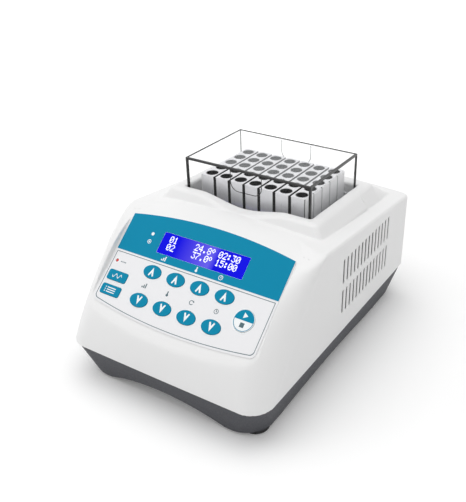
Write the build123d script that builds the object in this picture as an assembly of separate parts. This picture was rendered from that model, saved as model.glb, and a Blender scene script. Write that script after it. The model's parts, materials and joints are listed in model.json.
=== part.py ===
from build123d import *
from math import copysign, cos, pi, radians, sin, sqrt
import os

# Thermal mixer: a shaking dry block under a clear lid, in a white housing on a dark base tray.
# Millimetres. The origin is the centre of the footprint on the floor. +Z is up and the keypad faces -Y.
os.makedirs("parts", exist_ok=True)

# Driving sizes of the body
body_width = 198.6
body_depth = 277.0
seam_z = 33.0
cheek_radius = 164.0
deck_front_y = -46.0
deck_front_z = 127.1
deck_slope = 0.095
deck_crown = 4.0
cheek_crown = 5.0
seam_bow = 0.4
bow_rise = 35.0
housing_wall = 3.0
deck_edge_radius = 2.5
cutter_reach = 10.0
corner_radius_seam = 19.5
corner_radius_mid = 27.0
corner_radius_top = 9.0
rear_corner_radius = 8.0
section_count = 8
section_rise = 7.0

# Base tray and its feet
tray_inset = 1.0
tray_taper = 8.0
tray_wall = 2.5
tray_bottom_z = 3.0
tray_floor_z = 18.0
tray_corner_growth = 5.0
front_arch_half = 62.0
front_arch_rise = 12.0
side_arch_rise = 5.0
foot_radius = 11.5
foot_height = 4.0
foot_x = 78.0
foot_front_y = -112.0
foot_rear_y = 88.0
screw_radius = 1.6
screw_head_radius = 3.0
boss_radius = 4.5
boss_inset = 12.0
boss_height = 14.0
boss_web = 3.0
boss_front_y = -85.0
boss_rear_y = 118.0

# Well block
block_y = 43.0
columns = 7
rows = 5
column_pitch = 15.7
row_pitch = 15.0
well_radius = 5.5
well_depth = 38.0
well_tip = 3.0
tip_radius = 1.5
notch_width = 1.0
notch_depth = 0.8
slot_width = 2.2
slot_depth = 42.0
block_height = 50.0
block_top_z = 145.8
block_corner = 1.5

# Shaking gear under the block
orbit_radius = 1.5
running_gap = 0.05
rod_radius = 2.5
heater_thickness = 8.0
pad_thickness = 4.0
platform_thickness = 4.0
plate_margin = 1.9
plate_screw_inset = 7.0
rod_drop = 6.8
rod_level_step = 10.0
rod_x_offset = 24.0
rod_y_offset = 30.0
bearing_depth = 4.5
bearing_half = 6.0
bearing_spread = 16.0
carriage_half_x = 40.0
carriage_half_y = 33.0
carriage_window = 13.5
carriage_rise = 4.0
ear_width = 9.0
ear_thickness = 5.0
bridge_gap = 6.5
bridge_thickness = 6.0
bridge_half_y = 31.0
bridge_foot = 9.0
motor_radius = 21.0
motor_foot_half = 24.0
motor_foot_height = 4.0
motor_screw_offset = 20.0
hub_height = 8.0
hub_radius = 8.0
hub_gap = 2.0
counterweight_radius = 11.5
crank_radius = 3.0
bushing_wall = 4.0
sensor_radius = 1.9

# Clear lid and the chamber it covers
lid_side_gap = 10.4
lid_front_gap = 8.5
lid_rear_gap = 4.5
lid_height = 40.0
lid_headroom = 16.7
lid_wall = 2.0
lid_gap = 0.2
grip_width = 32.0
grip_depth = 19.0
grip_recess = 0.9
grip_corner = 8.0
opening_gap = 1.0
liner_fit = 0.3
ledge_lap = 0.5
liner_height = 21.5
liner_flange = 12.0
liner_flange_thickness = 3.0
liner_boss_offset = 5.7
liner_boss_spread = 30.0
liner_boss_radius = 4.0
liner_screw_length = 9.0

# Collar round the chamber
rim_width = 10.7
rim_front_depth = 9.0
rim_rear_depth = 9.0
rim_front_z = 135.7
rim_slope = 0.0375
collar_shoulder = 9.0
collar_edge_drop = 12.2
collar_lean = 8.6
collar_step = 18.0
collar_rear_gap = 8.5
collar_crest = 0.5
collar_tail = 1.5
scoop_half = 52.0
scoop_depth = 7.6
scoop_run = 37.0

# Keypad panel
panel_top_y = -56.35
panel_top_z = 125.1
panel_angle = 40.7
panel_half = 81.4
panel_height = 84.0
panel_top_bulge = 7.5
panel_bottom_bulge = 6.5
panel_corner = 5.0
membrane_thickness = 0.8
recess_margin = 2.1
display_width = 86.3
display_height = 19.3
display_x = 0.9
display_v = 17.7
display_depth = 4.2
display_frame_margin = 7.0
key_travel = 0.5
key_gap = 0.3
key_thickness = 1.0
key_stem_radius = 1.75
key_hole_gap = 0.85
switch_size = 6.0
switch_body_height = 3.5
switch_button_height = 0.8
arrow_columns = 4
arrow_width = 18.4
arrow_height = 12.3
arrow_lead = 0.32
arrow_spread = 0.1715
arrow_up_v = 44.6
arrow_down_v = 70.4
bar_key_width = 21.0
bar_key_height = 9.5
bar_key_margin = 3.7
bar_key_upper_v = 57.7
bar_key_lower_v = 70.8
round_key_radius = 9.4
round_key_margin = 11.0
round_key_v = 57.1
lamp_radius = 1.5
lamp_margin = 6.1
lamp_v = 44.6
board_depth = 14.0
board_thickness = 1.6
board_margin_x = 6.0
board_margin_v = 2.0
board_post_margin = 9.4
board_post_radius = 3.5

# Vents
vent_count = 14
vent_pitch = 7.1
vent_width = 2.6
vent_first_y = -5.5
vent_rows = ((52.7, 76.6), (82.8, 106.9))

# Power supply on the tray's floor
supply_y = -70.0
supply_half_x = 60.0
supply_half_y = 34.0
supply_lift = 4.0
supply_post_inset = 7.0
transformer_height = 30.0
transformer_width = 38.0
transformer_depth = 32.0
winding_inset = 5.0
winding_bulge = 6.0
capacitor_radius = 6.0
capacitor_height = 22.0
sink_height = 21.0
sink_fin_count = 7
sink_pitch = 6.0
sink_fin = 3.0
sink_base = 5.0
sink_depth = 26.0

# Rear wall
fan_x = -38.0
fan_z = 66.0
fan_size = 50.0
fan_thickness = 12.0
fan_wall = 1.5
fan_hub_radius = 10.0
fan_blades = 7
spoke_width = 2.0
spindle_radius = 1.2
blade_thickness = 1.2
fan_screw_offset = 20.0
grille_slot = 3.0
grille_pitch = 6.0
inlet_x = 58.0
inlet_z = 52.0
inlet_width = 27.0
inlet_height = 20.0
inlet_flange = 11.5
inlet_flange_thickness = 2.0
rear_screw_head = 1.4
inlet_wall = 1.6
inlet_depth = 20.0
inlet_socket_depth = 14.0
inlet_screw_offset = 20.0
pin_spread = 7.0
pin_rise = 3.0
pin_length = 10.0
switch_x = 58.0
switch_z = 86.0
switch_width = 19.0
switch_height = 13.0
switch_flange = 2.0
switch_flange_thickness = 1.8
switch_wall = 1.4
axle_radius = 1.0
axle_inset = 0.5
switch_depth = 18.0
rocker_tilt = 8.0
rocker_half = 7.2
rocker_inset = 1.5
cutout_gap = 0.3

# Places that follow from the sizes
half = body_width / 2
front_y = -body_depth / 2
rear_y = body_depth / 2
block_half_x = (columns * column_pitch - slot_width) / 2
block_half_y = rows * row_pitch / 2
seat_z = block_top_z - block_height
heater_z = seat_z - heater_thickness
pad_z = heater_z - pad_thickness
platform_z = pad_z - platform_thickness
plate_half_x = block_half_x - plate_margin
plate_half_y = block_half_y - plate_margin
rod_y_z = platform_z - rod_drop
rod_x_z = rod_y_z - rod_level_step
bearing_z = rod_y_z - bearing_depth
carriage_low = rod_x_z - bearing_depth
carriage_top = rod_x_z + carriage_rise
bridge_x = carriage_half_x + bridge_gap + orbit_radius
hub_top = rod_x_z + 1
hub_z = hub_top - hub_height
motor_top = hub_z - hub_gap
motor_z = tray_floor_z
bushing_bore = crank_radius + orbit_radius * (1 + sqrt(2)) + 0.3
bushing_radius = bushing_bore + bushing_wall
lid_half_x = block_half_x + lid_side_gap
lid_half_y = block_half_y + (lid_front_gap + lid_rear_gap) / 2
lid_y = block_y + (lid_rear_gap - lid_front_gap) / 2
ledge_z = block_top_z + lid_headroom - lid_height
liner_bottom_z = ledge_z - liner_height
liner_flange_top = liner_bottom_z + liner_flange_thickness
opening_half_x = lid_half_x + opening_gap
opening_half_y = lid_half_y + opening_gap
rim_half = opening_half_x + rim_width
collar_half = rim_half + collar_shoulder
rim_front_y = lid_y - opening_half_y - rim_front_depth
rim_rear_y = lid_y + opening_half_y + rim_rear_depth
collar_front_y = rim_front_y - collar_lean
collar_step_y = lid_y + opening_half_y - collar_step
collar_rear_y = rear_y - collar_rear_gap
supply_z = tray_floor_z + supply_lift
supply_top = supply_z + board_thickness
fan_front_y = rear_y - housing_wall - fan_thickness
feet_places = [(sx * foot_x, y) for sx in (-1, 1) for y in (foot_front_y, foot_rear_y)]
boss_places = [(sx * (half - boss_inset), y) for sx in (-1, 1) for y in (boss_front_y, boss_rear_y)]
liner_boss_x = opening_half_x + liner_boss_offset
liner_boss_places = [(sx * liner_boss_x, lid_y + sy * liner_boss_spread) for sx in (-1, 1) for sy in (-1, 1)]
bar_key_x = bar_key_margin + bar_key_width / 2 - panel_half
round_key_x = panel_half - round_key_margin - round_key_radius
lamp_x = lamp_margin - panel_half
arrow_room_left = bar_key_x + bar_key_width / 2
arrow_slack = round_key_x - round_key_radius - arrow_room_left - arrow_columns * arrow_width
arrow_x = arrow_room_left + arrow_lead * arrow_slack + arrow_width / 2
arrow_pitch = arrow_width + arrow_spread * arrow_slack
board_post_x = panel_half - board_post_margin
board_post_v = (board_margin_v + board_margin_x, panel_height - board_margin_v - board_margin_v)
board_posts = [(sx * board_post_x, v) for sx in (-1, 1) for v in board_post_v]
supply_posts = [
    (sx * (supply_half_x - supply_post_inset), supply_y + sy * (supply_half_y - supply_post_inset))
    for sx in (-1, 1) for sy in (-1, 1)
]
rear_screw_places = [
    (fan_x + sx * fan_screw_offset, fan_z + sz * fan_screw_offset) for sx in (-1, 1) for sz in (-1, 1)
]
rear_screw_places += [(inlet_x + sx * inlet_screw_offset, inlet_z) for sx in (-1, 1)]


def block(x0, x1, y0, y1, z0, z1):
    """A box between two corners."""
    centre = ((x0 + x1) / 2, (y0 + y1) / 2, (z0 + z1) / 2)
    return Pos(*centre) * Box(x1 - x0, y1 - y0, z1 - z0)


def post(x, y, z0, z1, radius):
    """An upright cylinder."""
    return Pos(x, y, (z0 + z1) / 2) * Cylinder(radius, z1 - z0)


def along_x(x0, x1, y, z, radius):
    """A cylinder that lies along X."""
    return Pos((x0 + x1) / 2, y, z) * Rot(0, 90, 0) * Cylinder(radius, x1 - x0)


def along_y(x, y0, y1, z, radius):
    """A cylinder that lies along Y."""
    return Pos(x, (y0 + y1) / 2, z) * Rot(90, 0, 0) * Cylinder(radius, y1 - y0)


def group(solids):
    """Separate solids that share one node."""
    return Compound(children=[piece for solid in solids for piece in solid.solids()])


def cheek_centre():
    """Centre of the arc that runs from the front seam up to the deck, seen from the side."""
    dy = deck_front_y - front_y
    dz = deck_front_z - seam_z
    chord = sqrt(dy * dy + dz * dz)
    reach = sqrt(cheek_radius ** 2 - (chord / 2) ** 2)
    return (front_y + dy / 2 + reach * dz / chord, seam_z + dz / 2 - reach * dy / chord)


def cheek_y(z, extra):
    """Front of the housing at a height, with the arc's radius grown by extra."""
    centre_y, centre_z = cheek_centre()
    return centre_y - sqrt((cheek_radius + extra) ** 2 - (z - centre_z) ** 2)


def front_corner(z):
    """Corner radius of the housing in plan: widest half way up the slope."""
    share = (z - seam_z) / (deck_front_z - seam_z)
    if share < 0.5:
        return corner_radius_seam + (corner_radius_mid - corner_radius_seam) * sin(pi * share)
    return corner_radius_top + (corner_radius_mid - corner_radius_top) * sin(pi * min(share, 1.0))


def housing_outline(z, inset):
    """Plan of the housing at one height, with a bowed front."""
    side = half - inset
    rear = rear_y - inset
    bow = seam_bow + (cheek_crown - seam_bow) * sin(pi / 2 * min(1.0, (z - seam_z) / bow_rise))
    side_front = cheek_y(z, -inset)
    middle_front = cheek_y(z, bow - inset)
    edges = [
        ThreePointArc((-side, side_front), (0, middle_front), (side, side_front)),
        Line((side, side_front), (side, rear)),
        Line((side, rear), (-side, rear)),
        Line((-side, rear), (-side, side_front)),
    ]
    face = make_face(Curve() + edges)
    corners = face.vertices().group_by(Axis.Y)
    face = fillet(corners[0], front_corner(z) - inset / 2)
    face = fillet(face.vertices().group_by(Axis.Y)[-1], rear_corner_radius - inset / 2)
    return Pos(0, 0, z) * face


def deck_height(y):
    """Height of the deck's side edge."""
    return deck_front_z - deck_slope * (y - deck_front_y)


def deck_prism(inset):
    """Everything under the deck's crowned, sloping surface."""
    side = half + 5
    y0 = front_y - 10
    top = deck_height(y0) - inset
    edges = [
        Line((-side, 0), (side, 0)),
        Line((side, 0), (side, top)),
        ThreePointArc((side, top), (0, top + deck_crown), (-side, top)),
        Line((-side, top), (-side, 0)),
    ]
    face = Plane(origin=(0, y0, 0), x_dir=(1, 0, 0), z_dir=(0, -1, 0)) * make_face(Curve() + edges)
    run = body_depth + 20
    return extrude(face, amount=run * sqrt(1 + deck_slope ** 2), dir=(0, 1, -deck_slope))


def housing_form(inset):
    """The housing's outer form, or its cavity when inset by the wall."""
    step = (deck_front_z + section_rise - seam_z) / (section_count - 1)
    form = loft([housing_outline(seam_z + k * step, inset) for k in range(section_count)])
    return form & deck_prism(inset)


panel = Plane(
    origin=(0, panel_top_y, panel_top_z),
    x_dir=(1, 0, 0),
    z_dir=(0, -sin(radians(panel_angle)), cos(radians(panel_angle))),
)


def on_panel(shape, x, v, lift):
    """Place a shape on the keypad panel: v runs down the slope, lift is along its normal."""
    return panel * Pos(x, -v, lift) * shape


def above_panel(depth, side):
    """The space above the keypad panel, from depth below the membrane's face."""
    reach = 60
    length = panel_height + 2 * reach
    slab = Box(2 * side, length, reach)
    return on_panel(slab, 0, panel_height / 2, reach / 2 - depth)


def edge_height(y):
    """Height of the collar's sharp side edge."""
    return rim_height(y) - collar_edge_drop


def rim_height(y):
    """Height of the collar's rim, which falls slightly to the rear."""
    return rim_front_z - rim_slope * (y - rim_front_y)


def collar_section(y, edge, rim):
    """Cross-section of the collar at one place along its depth."""
    points = [(-collar_half, liner_bottom_z), (collar_half, liner_bottom_z), (collar_half, edge)]
    points += [(rim_half, rim), (-rim_half, rim), (-collar_half, edge)]
    face = make_face(Polyline(*points, close=True))
    return Plane(origin=(0, y, 0), x_dir=(1, 0, 0), z_dir=(0, -1, 0)) * face


def collar_form():
    """The raised surround of the chamber: stepped sides in front, a smooth fall to the rear."""
    low = edge_height(collar_front_y)
    high = rim_front_z + cutter_reach
    front = collar_section(collar_front_y, low, rim_height(collar_front_y))
    run = collar_step_y - collar_front_y
    body = extrude(front, amount=run * sqrt(1 + rim_slope ** 2), dir=(0, 1, -rim_slope))
    ahead = collar_front_y - cutter_reach
    top_y = collar_front_y + collar_lean / collar_edge_drop * (high - low)
    wedge = make_face(Polyline((collar_front_y, low), (ahead, low), (ahead, high), (top_y, high), close=True))
    wedge = Plane(origin=(-half, 0, 0), x_dir=(0, 1, 0), z_dir=(1, 0, 0)) * wedge
    body = body - extrude(wedge, amount=body_width)
    tail = [(collar_step_y, rim_height(collar_step_y)), (rim_rear_y, rim_height(rim_rear_y))]
    tail.append((collar_rear_y, deck_height(collar_rear_y) + collar_tail))
    sections = [collar_section(y, deck_height(y) + collar_crest, rim) for y, rim in tail]
    return body + loft(sections[:2], ruled=True) + loft(sections[1:], ruled=True)


def scoop_cutter():
    """The wavy dip in the collar's front wall."""
    top = rim_front_z + cutter_reach
    rest = rim_front_z + collar_crest
    dip = Spline(
        (-scoop_half, rest),
        (0, rest - scoop_depth),
        (scoop_half, rest),
        tangents=[(1, 0), (1, 0), (1, 0)],
    )
    sides = Polyline((scoop_half, rest), (scoop_half, top), (-scoop_half, top), (-scoop_half, rest))
    face = Plane(origin=(0, 0, 0), x_dir=(1, 0, 0), z_dir=(0, -1, 0)) * make_face(Curve() + [dip, sides])
    return Pos(0, collar_front_y - cutter_reach, 0) * extrude(face, amount=-scoop_run)


def vent_slots():
    """Two rows of upright slots through both side walls."""
    slots = []
    for low, high in vent_rows:
        for k in range(vent_count):
            y = vent_first_y + k * vent_pitch
            outline = SlotOverall(high - low, vent_width, rotation=90)
            face = Plane(origin=(0, y, (low + high) / 2), x_dir=(0, 1, 0), z_dir=(1, 0, 0)) * outline
            slots.append(extrude(face, amount=body_width, both=True))
    return slots


def key_places():
    """Name, kind, x and v of each of the eleven keys."""
    places = []
    for k in range(arrow_columns):
        places.append(("arrow_up_key_%d" % (k + 1), "arrow", arrow_x + k * arrow_pitch, arrow_up_v))
        places.append(("arrow_down_key_%d" % (k + 1), "arrow", arrow_x + k * arrow_pitch, arrow_down_v))
    places.append(("mix_key", "bar", bar_key_x, bar_key_upper_v))
    places.append(("program_key", "bar", bar_key_x, bar_key_lower_v))
    places.append(("start_stop_key", "round", round_key_x, round_key_v))
    return places


def key_outline(kind, gap):
    """Outline of one key, shrunk by the gap round it."""
    if kind == "arrow":
        return Ellipse(arrow_width / 2 - gap, arrow_height / 2 - gap)
    if kind == "bar":
        return RectangleRounded(bar_key_width - 2 * gap, bar_key_height - 2 * gap, 2 - gap)
    return Circle(round_key_radius - gap)


def membrane_outline():
    """Keypad overlay: arched along the top and the bottom."""
    low = panel_height - panel_corner / 2
    edges = [
        ThreePointArc((-panel_half, 0), (0, panel_top_bulge), (panel_half, 0)),
        Line((panel_half, 0), (panel_half, -low)),
        ThreePointArc((panel_half, -low), (0, -low - panel_bottom_bulge), (-panel_half, -low)),
        Line((-panel_half, -low), (-panel_half, 0)),
    ]
    face = make_face(Curve() + edges)
    return fillet(face.vertices().group_by(Axis.Y)[0], panel_corner)


def grille_slots():
    """Slots through the rear wall behind the fan."""
    slots = []
    bore = fan_size / 2 - fan_wall
    rows = int((bore - grille_slot) / grille_pitch)
    for k in range(-rows, rows + 1):
        chord = 2 * sqrt(bore ** 2 - (k * grille_pitch) ** 2) - grille_slot
        wall = Plane(origin=(fan_x, rear_y, fan_z + k * grille_pitch), x_dir=(1, 0, 0), z_dir=(0, 1, 0))
        slots.append(extrude(wall * SlotOverall(chord, grille_slot), amount=2 * housing_wall, both=True))
    return slots


def upper_housing():
    """White moulded shell with the chamber's collar, the keypad recess and the vents."""
    collar = collar_form() - scoop_cutter()
    form = housing_form(0)
    deck_sides = form.edges().filter_by(lambda edge: edge.length > body_depth / 2).group_by(Axis.Z)[-1]
    form = fillet(deck_sides, deck_edge_radius)
    form = form - above_panel(membrane_thickness, panel_half + recess_margin)
    shell = form + collar
    cavity = housing_form(housing_wall)
    cavity = cavity - above_panel(membrane_thickness + housing_wall, half)
    shell = shell - cavity
    opening = (-opening_half_x, opening_half_x, lid_y - opening_half_y, lid_y + opening_half_y)
    shell = shell - block(*opening, liner_bottom_z, rim_front_z + cutter_reach)
    shell = shell - (vent_slots() + grille_slots())
    through = 4 * housing_wall
    window = Box(display_width + 2 * cutout_gap, display_height + 2 * cutout_gap, through)
    shell = shell - on_panel(window, display_x, display_v, -housing_wall)
    key_hole = Cylinder(key_stem_radius + key_hole_gap, through)
    for name, kind, x, v in key_places():
        shell = shell - on_panel(key_hole, x, v, -housing_wall)
    shell = shell - on_panel(Cylinder(lamp_radius + cutout_gap, through), lamp_x, lamp_v, -housing_wall)
    shell = shell - rear_cut(inlet_x, inlet_z, inlet_width, inlet_height)
    shell = shell - rear_cut(switch_x, switch_z, switch_width, switch_height)
    for x, z in rear_screw_places:
        shell = shell - along_y(x, rear_y - 2 * housing_wall, rear_y + 1, z, screw_radius)
    for x, y in boss_places:
        reach = copysign(half - housing_wall / 2, x)
        across = (min(x, reach), max(x, reach), y - boss_web / 2, y + boss_web / 2)
        boss_top = seam_z + boss_height
        boss = post(x, y, seam_z, boss_top, boss_radius) + block(*across, seam_z, boss_top)
        shell = shell + boss - post(x, y, seam_z - 1, boss_top - 2, screw_radius)
    for x, y in liner_boss_places:
        rise = deck_height(y) + 1
        shell = shell + post(x, y, liner_flange_top, rise, liner_boss_radius)
        shell = shell - post(x, y, liner_flange_top - 1, liner_flange_top + liner_screw_length, screw_radius)
    for x, v in board_posts:
        length = board_depth - membrane_thickness - housing_wall / 2
        shell = shell + on_panel(Cylinder(board_post_radius, length), x, v, -board_depth + length / 2)
        shell = shell - on_panel(Cylinder(screw_radius, 8), x, v, -board_depth + 3)
    return shell


def tray_outline(z, inset):
    """Plan of the base tray at one height: it draws in towards the bottom."""
    drop = (seam_z - z) / (seam_z - tray_bottom_z)
    side = half - tray_inset - tray_taper * drop - inset
    front = front_y + tray_inset + tray_taper * drop + inset
    rear = rear_y - tray_inset - tray_taper * drop - inset
    face = Pos(0, (front + rear) / 2, z) * Rectangle(2 * side, rear - front)
    growth = tray_corner_growth * drop - inset
    face = fillet(face.vertices().group_by(Axis.Y)[0], corner_radius_seam + growth)
    return fillet(face.vertices().group_by(Axis.Y)[-1], rear_corner_radius + growth)


def tray_form(inset):
    """The tray's tapered body, or its inside when inset by the wall."""
    return loft([tray_outline(z, inset) for z in (tray_bottom_z, seam_z)], ruled=True)


def arch(centre, along, half_span, rise, reach):
    """A flat arched segment that lifts the tray's lower edge between the feet."""
    low = tray_bottom_z - 1
    edges = [
        ThreePointArc((-half_span, low), (0, tray_bottom_z + rise), (half_span, low)),
        Line((half_span, low), (-half_span, low)),
    ]
    face = Plane(origin=centre, x_dir=along, z_dir=along.cross(Vector(0, 0, 1))) * make_face(Curve() + edges)
    return extrude(face, amount=reach, both=True)


def base_tray():
    """Dark tray: its floor carries the works, and its skirt arches up between the feet."""
    space = (-half, half, front_y, rear_y)
    inner = tray_form(tray_wall)
    tray = tray_form(0) - (inner & block(*space, tray_floor_z, seam_z))
    tray = tray - (inner & block(*space, 0, tray_floor_z - tray_wall))
    tray = tray - arch((0, front_y, 0), Vector(1, 0, 0), front_arch_half, front_arch_rise, 2 * tray_taper)
    middle = (foot_front_y + foot_rear_y) / 2
    span = (foot_rear_y - foot_front_y) / 2 - foot_radius
    tray = tray - arch((0, middle, 0), Vector(0, 1, 0), span, side_arch_rise, half)
    for x, y in feet_places:
        tray = tray - post(x, y, 0, foot_height, foot_radius + cutout_gap)
        tray = tray + post(x, y, foot_height, tray_floor_z - tray_wall / 2, foot_radius)
    for x, y in boss_places:
        tray = tray + post(x, y, tray_floor_z - tray_wall, seam_z, boss_radius)
    for x, y in supply_posts:
        tray = tray + post(x, y, tray_floor_z - tray_wall / 2, supply_z, screw_head_radius)
    holes = [post(x, y, foot_height - 1, foot_height + 8, screw_radius) for x, y in feet_places]
    for x, y in boss_places:
        holes.append(post(x, y, 0, seam_z + 1, screw_radius + 0.2))
        holes.append(post(x, y, 0, tray_floor_z + 4, screw_head_radius + 0.2))
    for sx in (-1, 1):
        for sy in (-1, 1):
            x = sx * motor_screw_offset
            y = block_y + sy * motor_screw_offset
            holes.append(post(x, y, tray_floor_z - 2 * tray_wall, tray_floor_z + 1, screw_radius))
    return tray - holes


def rubber_feet():
    """Four round feet with a sunk screw seat."""
    foot = post(0, 0, 0, foot_height, foot_radius)
    foot = chamfer(foot.edges().group_by(Axis.Z)[0], 1)
    foot = foot - post(0, 0, -1, foot_height + 1, screw_radius + 0.2)
    foot = foot - post(0, 0, -1, foot_height / 2, screw_head_radius + 0.3)
    return group([Pos(x, y, 0) * foot for x, y in feet_places])


def screw(length, head_height):
    """A slotted screw that stands on its head: its shank points up from zero."""
    head = Pos(0, 0, -head_height / 2) * Cylinder(screw_head_radius, head_height)
    shank = Pos(0, 0, length / 2) * Cylinder(screw_radius, length)
    slot = Pos(0, 0, -head_height) * Box(2 * screw_head_radius, 0.8, 1.2)
    return head + shank - slot


def foot_screws():
    """One screw up through each foot."""
    return group([Pos(x, y, foot_height / 2) * screw(8, 1.4) for x, y in feet_places])


def housing_screws():
    """Four screws from below that hold the housing on the tray."""
    seat = tray_floor_z + 4
    return group([Pos(x, y, seat) * screw(seam_z + 10 - seat, 2.2) for x, y in boss_places])


def chamber_liner():
    """Dark sleeve round the block, with the ledge that the lid stands on."""
    outer_x = opening_half_x - liner_fit
    outer_y = opening_half_y - liner_fit
    inner_x = lid_half_x - lid_wall - ledge_lap
    inner_y = lid_half_y - lid_wall - ledge_lap
    sleeve = block(-outer_x, outer_x, lid_y - outer_y, lid_y + outer_y, liner_bottom_z, ledge_z)
    wide = outer_x + liner_flange
    flange = block(-wide, wide, lid_y - outer_y, lid_y + outer_y, liner_bottom_z, liner_flange_top)
    flange = fillet(flange.edges().filter_by(Axis.Z), 4)
    sleeve = sleeve + flange
    inside = (-inner_x, inner_x, lid_y - inner_y, lid_y + inner_y)
    sleeve = sleeve - block(*inside, liner_bottom_z - 1, ledge_z + 1)
    holes = [post(x, y, liner_bottom_z - 1, liner_flange_top + 1, screw_radius) for x, y in liner_boss_places]
    return sleeve - holes


def liner_screws():
    """Screws that hang the liner under the deck."""
    return group([Pos(x, y, liner_bottom_z) * screw(liner_screw_length, 1.6) for x, y in liner_boss_places])


def membrane_overlay():
    """Printed keypad sheet with a window for the display and a hole for each key."""
    sheet = extrude(membrane_outline(), amount=membrane_thickness)
    cuts = [Pos(display_x, -display_v, 0) * Box(display_width, display_height, 4 * membrane_thickness)]
    for name, kind, x, v in key_places():
        cuts.append(extrude(Pos(x, -v, -1) * key_outline(kind, 0), amount=3))
    cuts.append(Pos(lamp_x, -lamp_v, 0) * Cylinder(lamp_radius + 0.1, 4 * membrane_thickness))
    return panel * Pos(0, 0, -membrane_thickness) * (sheet - cuts)


def display_glass():
    """Window of the display, flush with the overlay."""
    glass = RectangleRounded(display_width - key_gap, display_height - key_gap, 0.6)
    return on_panel(extrude(glass, amount=membrane_thickness), display_x, display_v, -membrane_thickness)


def display_module():
    """Display behind the window: a raised screen on a wider frame that stands on the board."""
    screen = Box(display_width, display_height, display_depth)
    frame_depth = board_depth - membrane_thickness - display_depth
    border = 2 * display_frame_margin
    frame = Box(display_width + border, display_height + border, frame_depth)
    module = Pos(0, 0, -display_depth / 2) * screen + Pos(0, 0, -display_depth - frame_depth / 2) * frame
    return on_panel(module, display_x, display_v, -membrane_thickness)


def status_lamp():
    """Small domed lamp that stands on the board and ends flush with the overlay."""
    lamp = Cylinder(lamp_radius, board_depth)
    lamp = fillet(lamp.edges().group_by(Axis.Z)[-1], lamp_radius / 2)
    return on_panel(lamp, lamp_x, lamp_v, -board_depth / 2)


def control_board():
    """Circuit board parallel to the keypad."""
    height = panel_height + panel_top_bulge / 2 - 2 * board_margin_v
    board = Box(2 * panel_half - board_margin_x, height, board_thickness)
    board = Pos(0, -height / 2 - board_margin_v, -board_depth - board_thickness / 2) * board
    for x, v in board_posts:
        board = board - Pos(x, -v, -board_depth) * Cylinder(screw_radius + 0.2, 4 * board_thickness)
    return panel * board


def board_screws():
    """Screws that hold the control board to the housing's posts."""
    seat = -board_depth - board_thickness
    return group([on_panel(screw(6, 1.6), x, v, seat) for x, v in board_posts])


def key_switches():
    """A push switch under each key."""
    switches = []
    for name, kind, x, v in key_places():
        body = Pos(0, 0, switch_body_height / 2) * Box(switch_size, switch_size, switch_body_height)
        top = switch_body_height + switch_button_height
        button = Pos(0, 0, top / 2) * Cylinder(key_stem_radius, top)
        switches.append(on_panel(body + button, x, v, -board_depth))
    return group(switches)


def key_pad(kind, x, v):
    """One key: a low pad that rises a little above the overlay, on a stem down to its switch."""
    pad = extrude(key_outline(kind, key_gap), amount=key_thickness)
    pad = chamfer(pad.edges().group_by(Axis.Z)[-1], key_thickness / 4)
    lift = key_travel - membrane_thickness + running_gap
    stem_length = board_depth + lift - switch_body_height - switch_button_height - key_travel - running_gap
    stem = Pos(0, 0, -stem_length / 2) * Cylinder(key_stem_radius, stem_length)
    return on_panel(pad + stem, x, v, lift)


def block_screw_places():
    """Under the wells beside the middle column, where the block's foot is solid."""
    return [(x, block_y) for x in (-column_pitch, column_pitch)]


def well_block():
    """Machined block: seven slotted columns of five wells on one foot."""
    ends = (block_y - block_half_y, block_y + block_half_y)
    body = block(-block_half_x, block_half_x, *ends, seat_z, block_top_z)
    body = fillet(body.edges().filter_by(Axis.Z), block_corner)
    slot_z = block_top_z - slot_depth
    cuts = []
    for i in range(1, columns):
        x = (i - columns / 2) * column_pitch
        across = (x - slot_width / 2, x + slot_width / 2)
        along = (block_y - 2 * block_half_y, block_y + 2 * block_half_y)
        cuts.append(block(*across, *along, slot_z, block_top_z + cutter_reach))
    for i in range(columns):
        x = (i - (columns - 1) / 2) * column_pitch
        for j in range(rows):
            y = block_y + (j - (rows - 1) / 2) * row_pitch
            bottom = block_top_z - well_depth
            cuts.append(post(x, y, bottom, block_top_z + 1, well_radius))
            cuts.append(Pos(x, y, bottom - well_tip / 2) * Cone(tip_radius, well_radius, well_tip))
    for j in range(1, rows):
        y = block_y + (j - rows / 2) * row_pitch
        for side in (-1, 1):
            x = side * block_half_x
            notch = (x - notch_depth, x + notch_depth, y - notch_width / 2, y + notch_width / 2)
            cuts.append(block(*notch, slot_z, block_top_z + 1))
    for x, y in block_screw_places():
        cuts.append(post(x, y, seat_z - 1, seat_z + 4, screw_radius))
    return body - cuts


def block_screws():
    """Screws that pull the block down on the heater."""
    seat = heater_z + 2.5
    return group([Pos(x, y, seat) * screw(seat_z + 3.5 - seat, 2.4) for x, y in block_screw_places()])


def plate(z0, z1, inset):
    """A flat plate with rounded corners under the block."""
    half_x = plate_half_x - inset
    half_y = plate_half_y - inset
    slab = block(-half_x, half_x, block_y - half_y, block_y + half_y, z0, z1)
    return fillet(slab.edges().filter_by(Axis.Z), 3)


def plate_screw_places():
    """Near the plates' corners."""
    x = plate_half_x - plate_screw_inset
    y = plate_half_y - plate_screw_inset
    return [(sx * x, block_y + sy * y) for sx in (-1, 1) for sy in (-1, 1)]


def heater_plate():
    """Heater under the block, with a bore for the sensor."""
    middle = (heater_z + seat_z) / 2
    bore = along_y(0, block_y - 2 * plate_half_y, block_y, middle, sensor_radius + 0.1)
    heater = plate(heater_z, seat_z, 0) - bore
    for x, y in block_screw_places():
        heater = heater - post(x, y, heater_z - 1, seat_z + 1, screw_radius)
        heater = heater - post(x, y, heater_z - 1, heater_z + 2.5, screw_head_radius)
    for x, y in plate_screw_places():
        heater = heater - post(x, y, heater_z - 1, heater_z + 5, screw_radius)
    return heater


def temperature_sensor():
    """Sensor sleeve in the heater's bore."""
    return along_y(0, block_y - plate_half_y - 2, block_y - 1, (heater_z + seat_z) / 2, sensor_radius)


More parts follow.
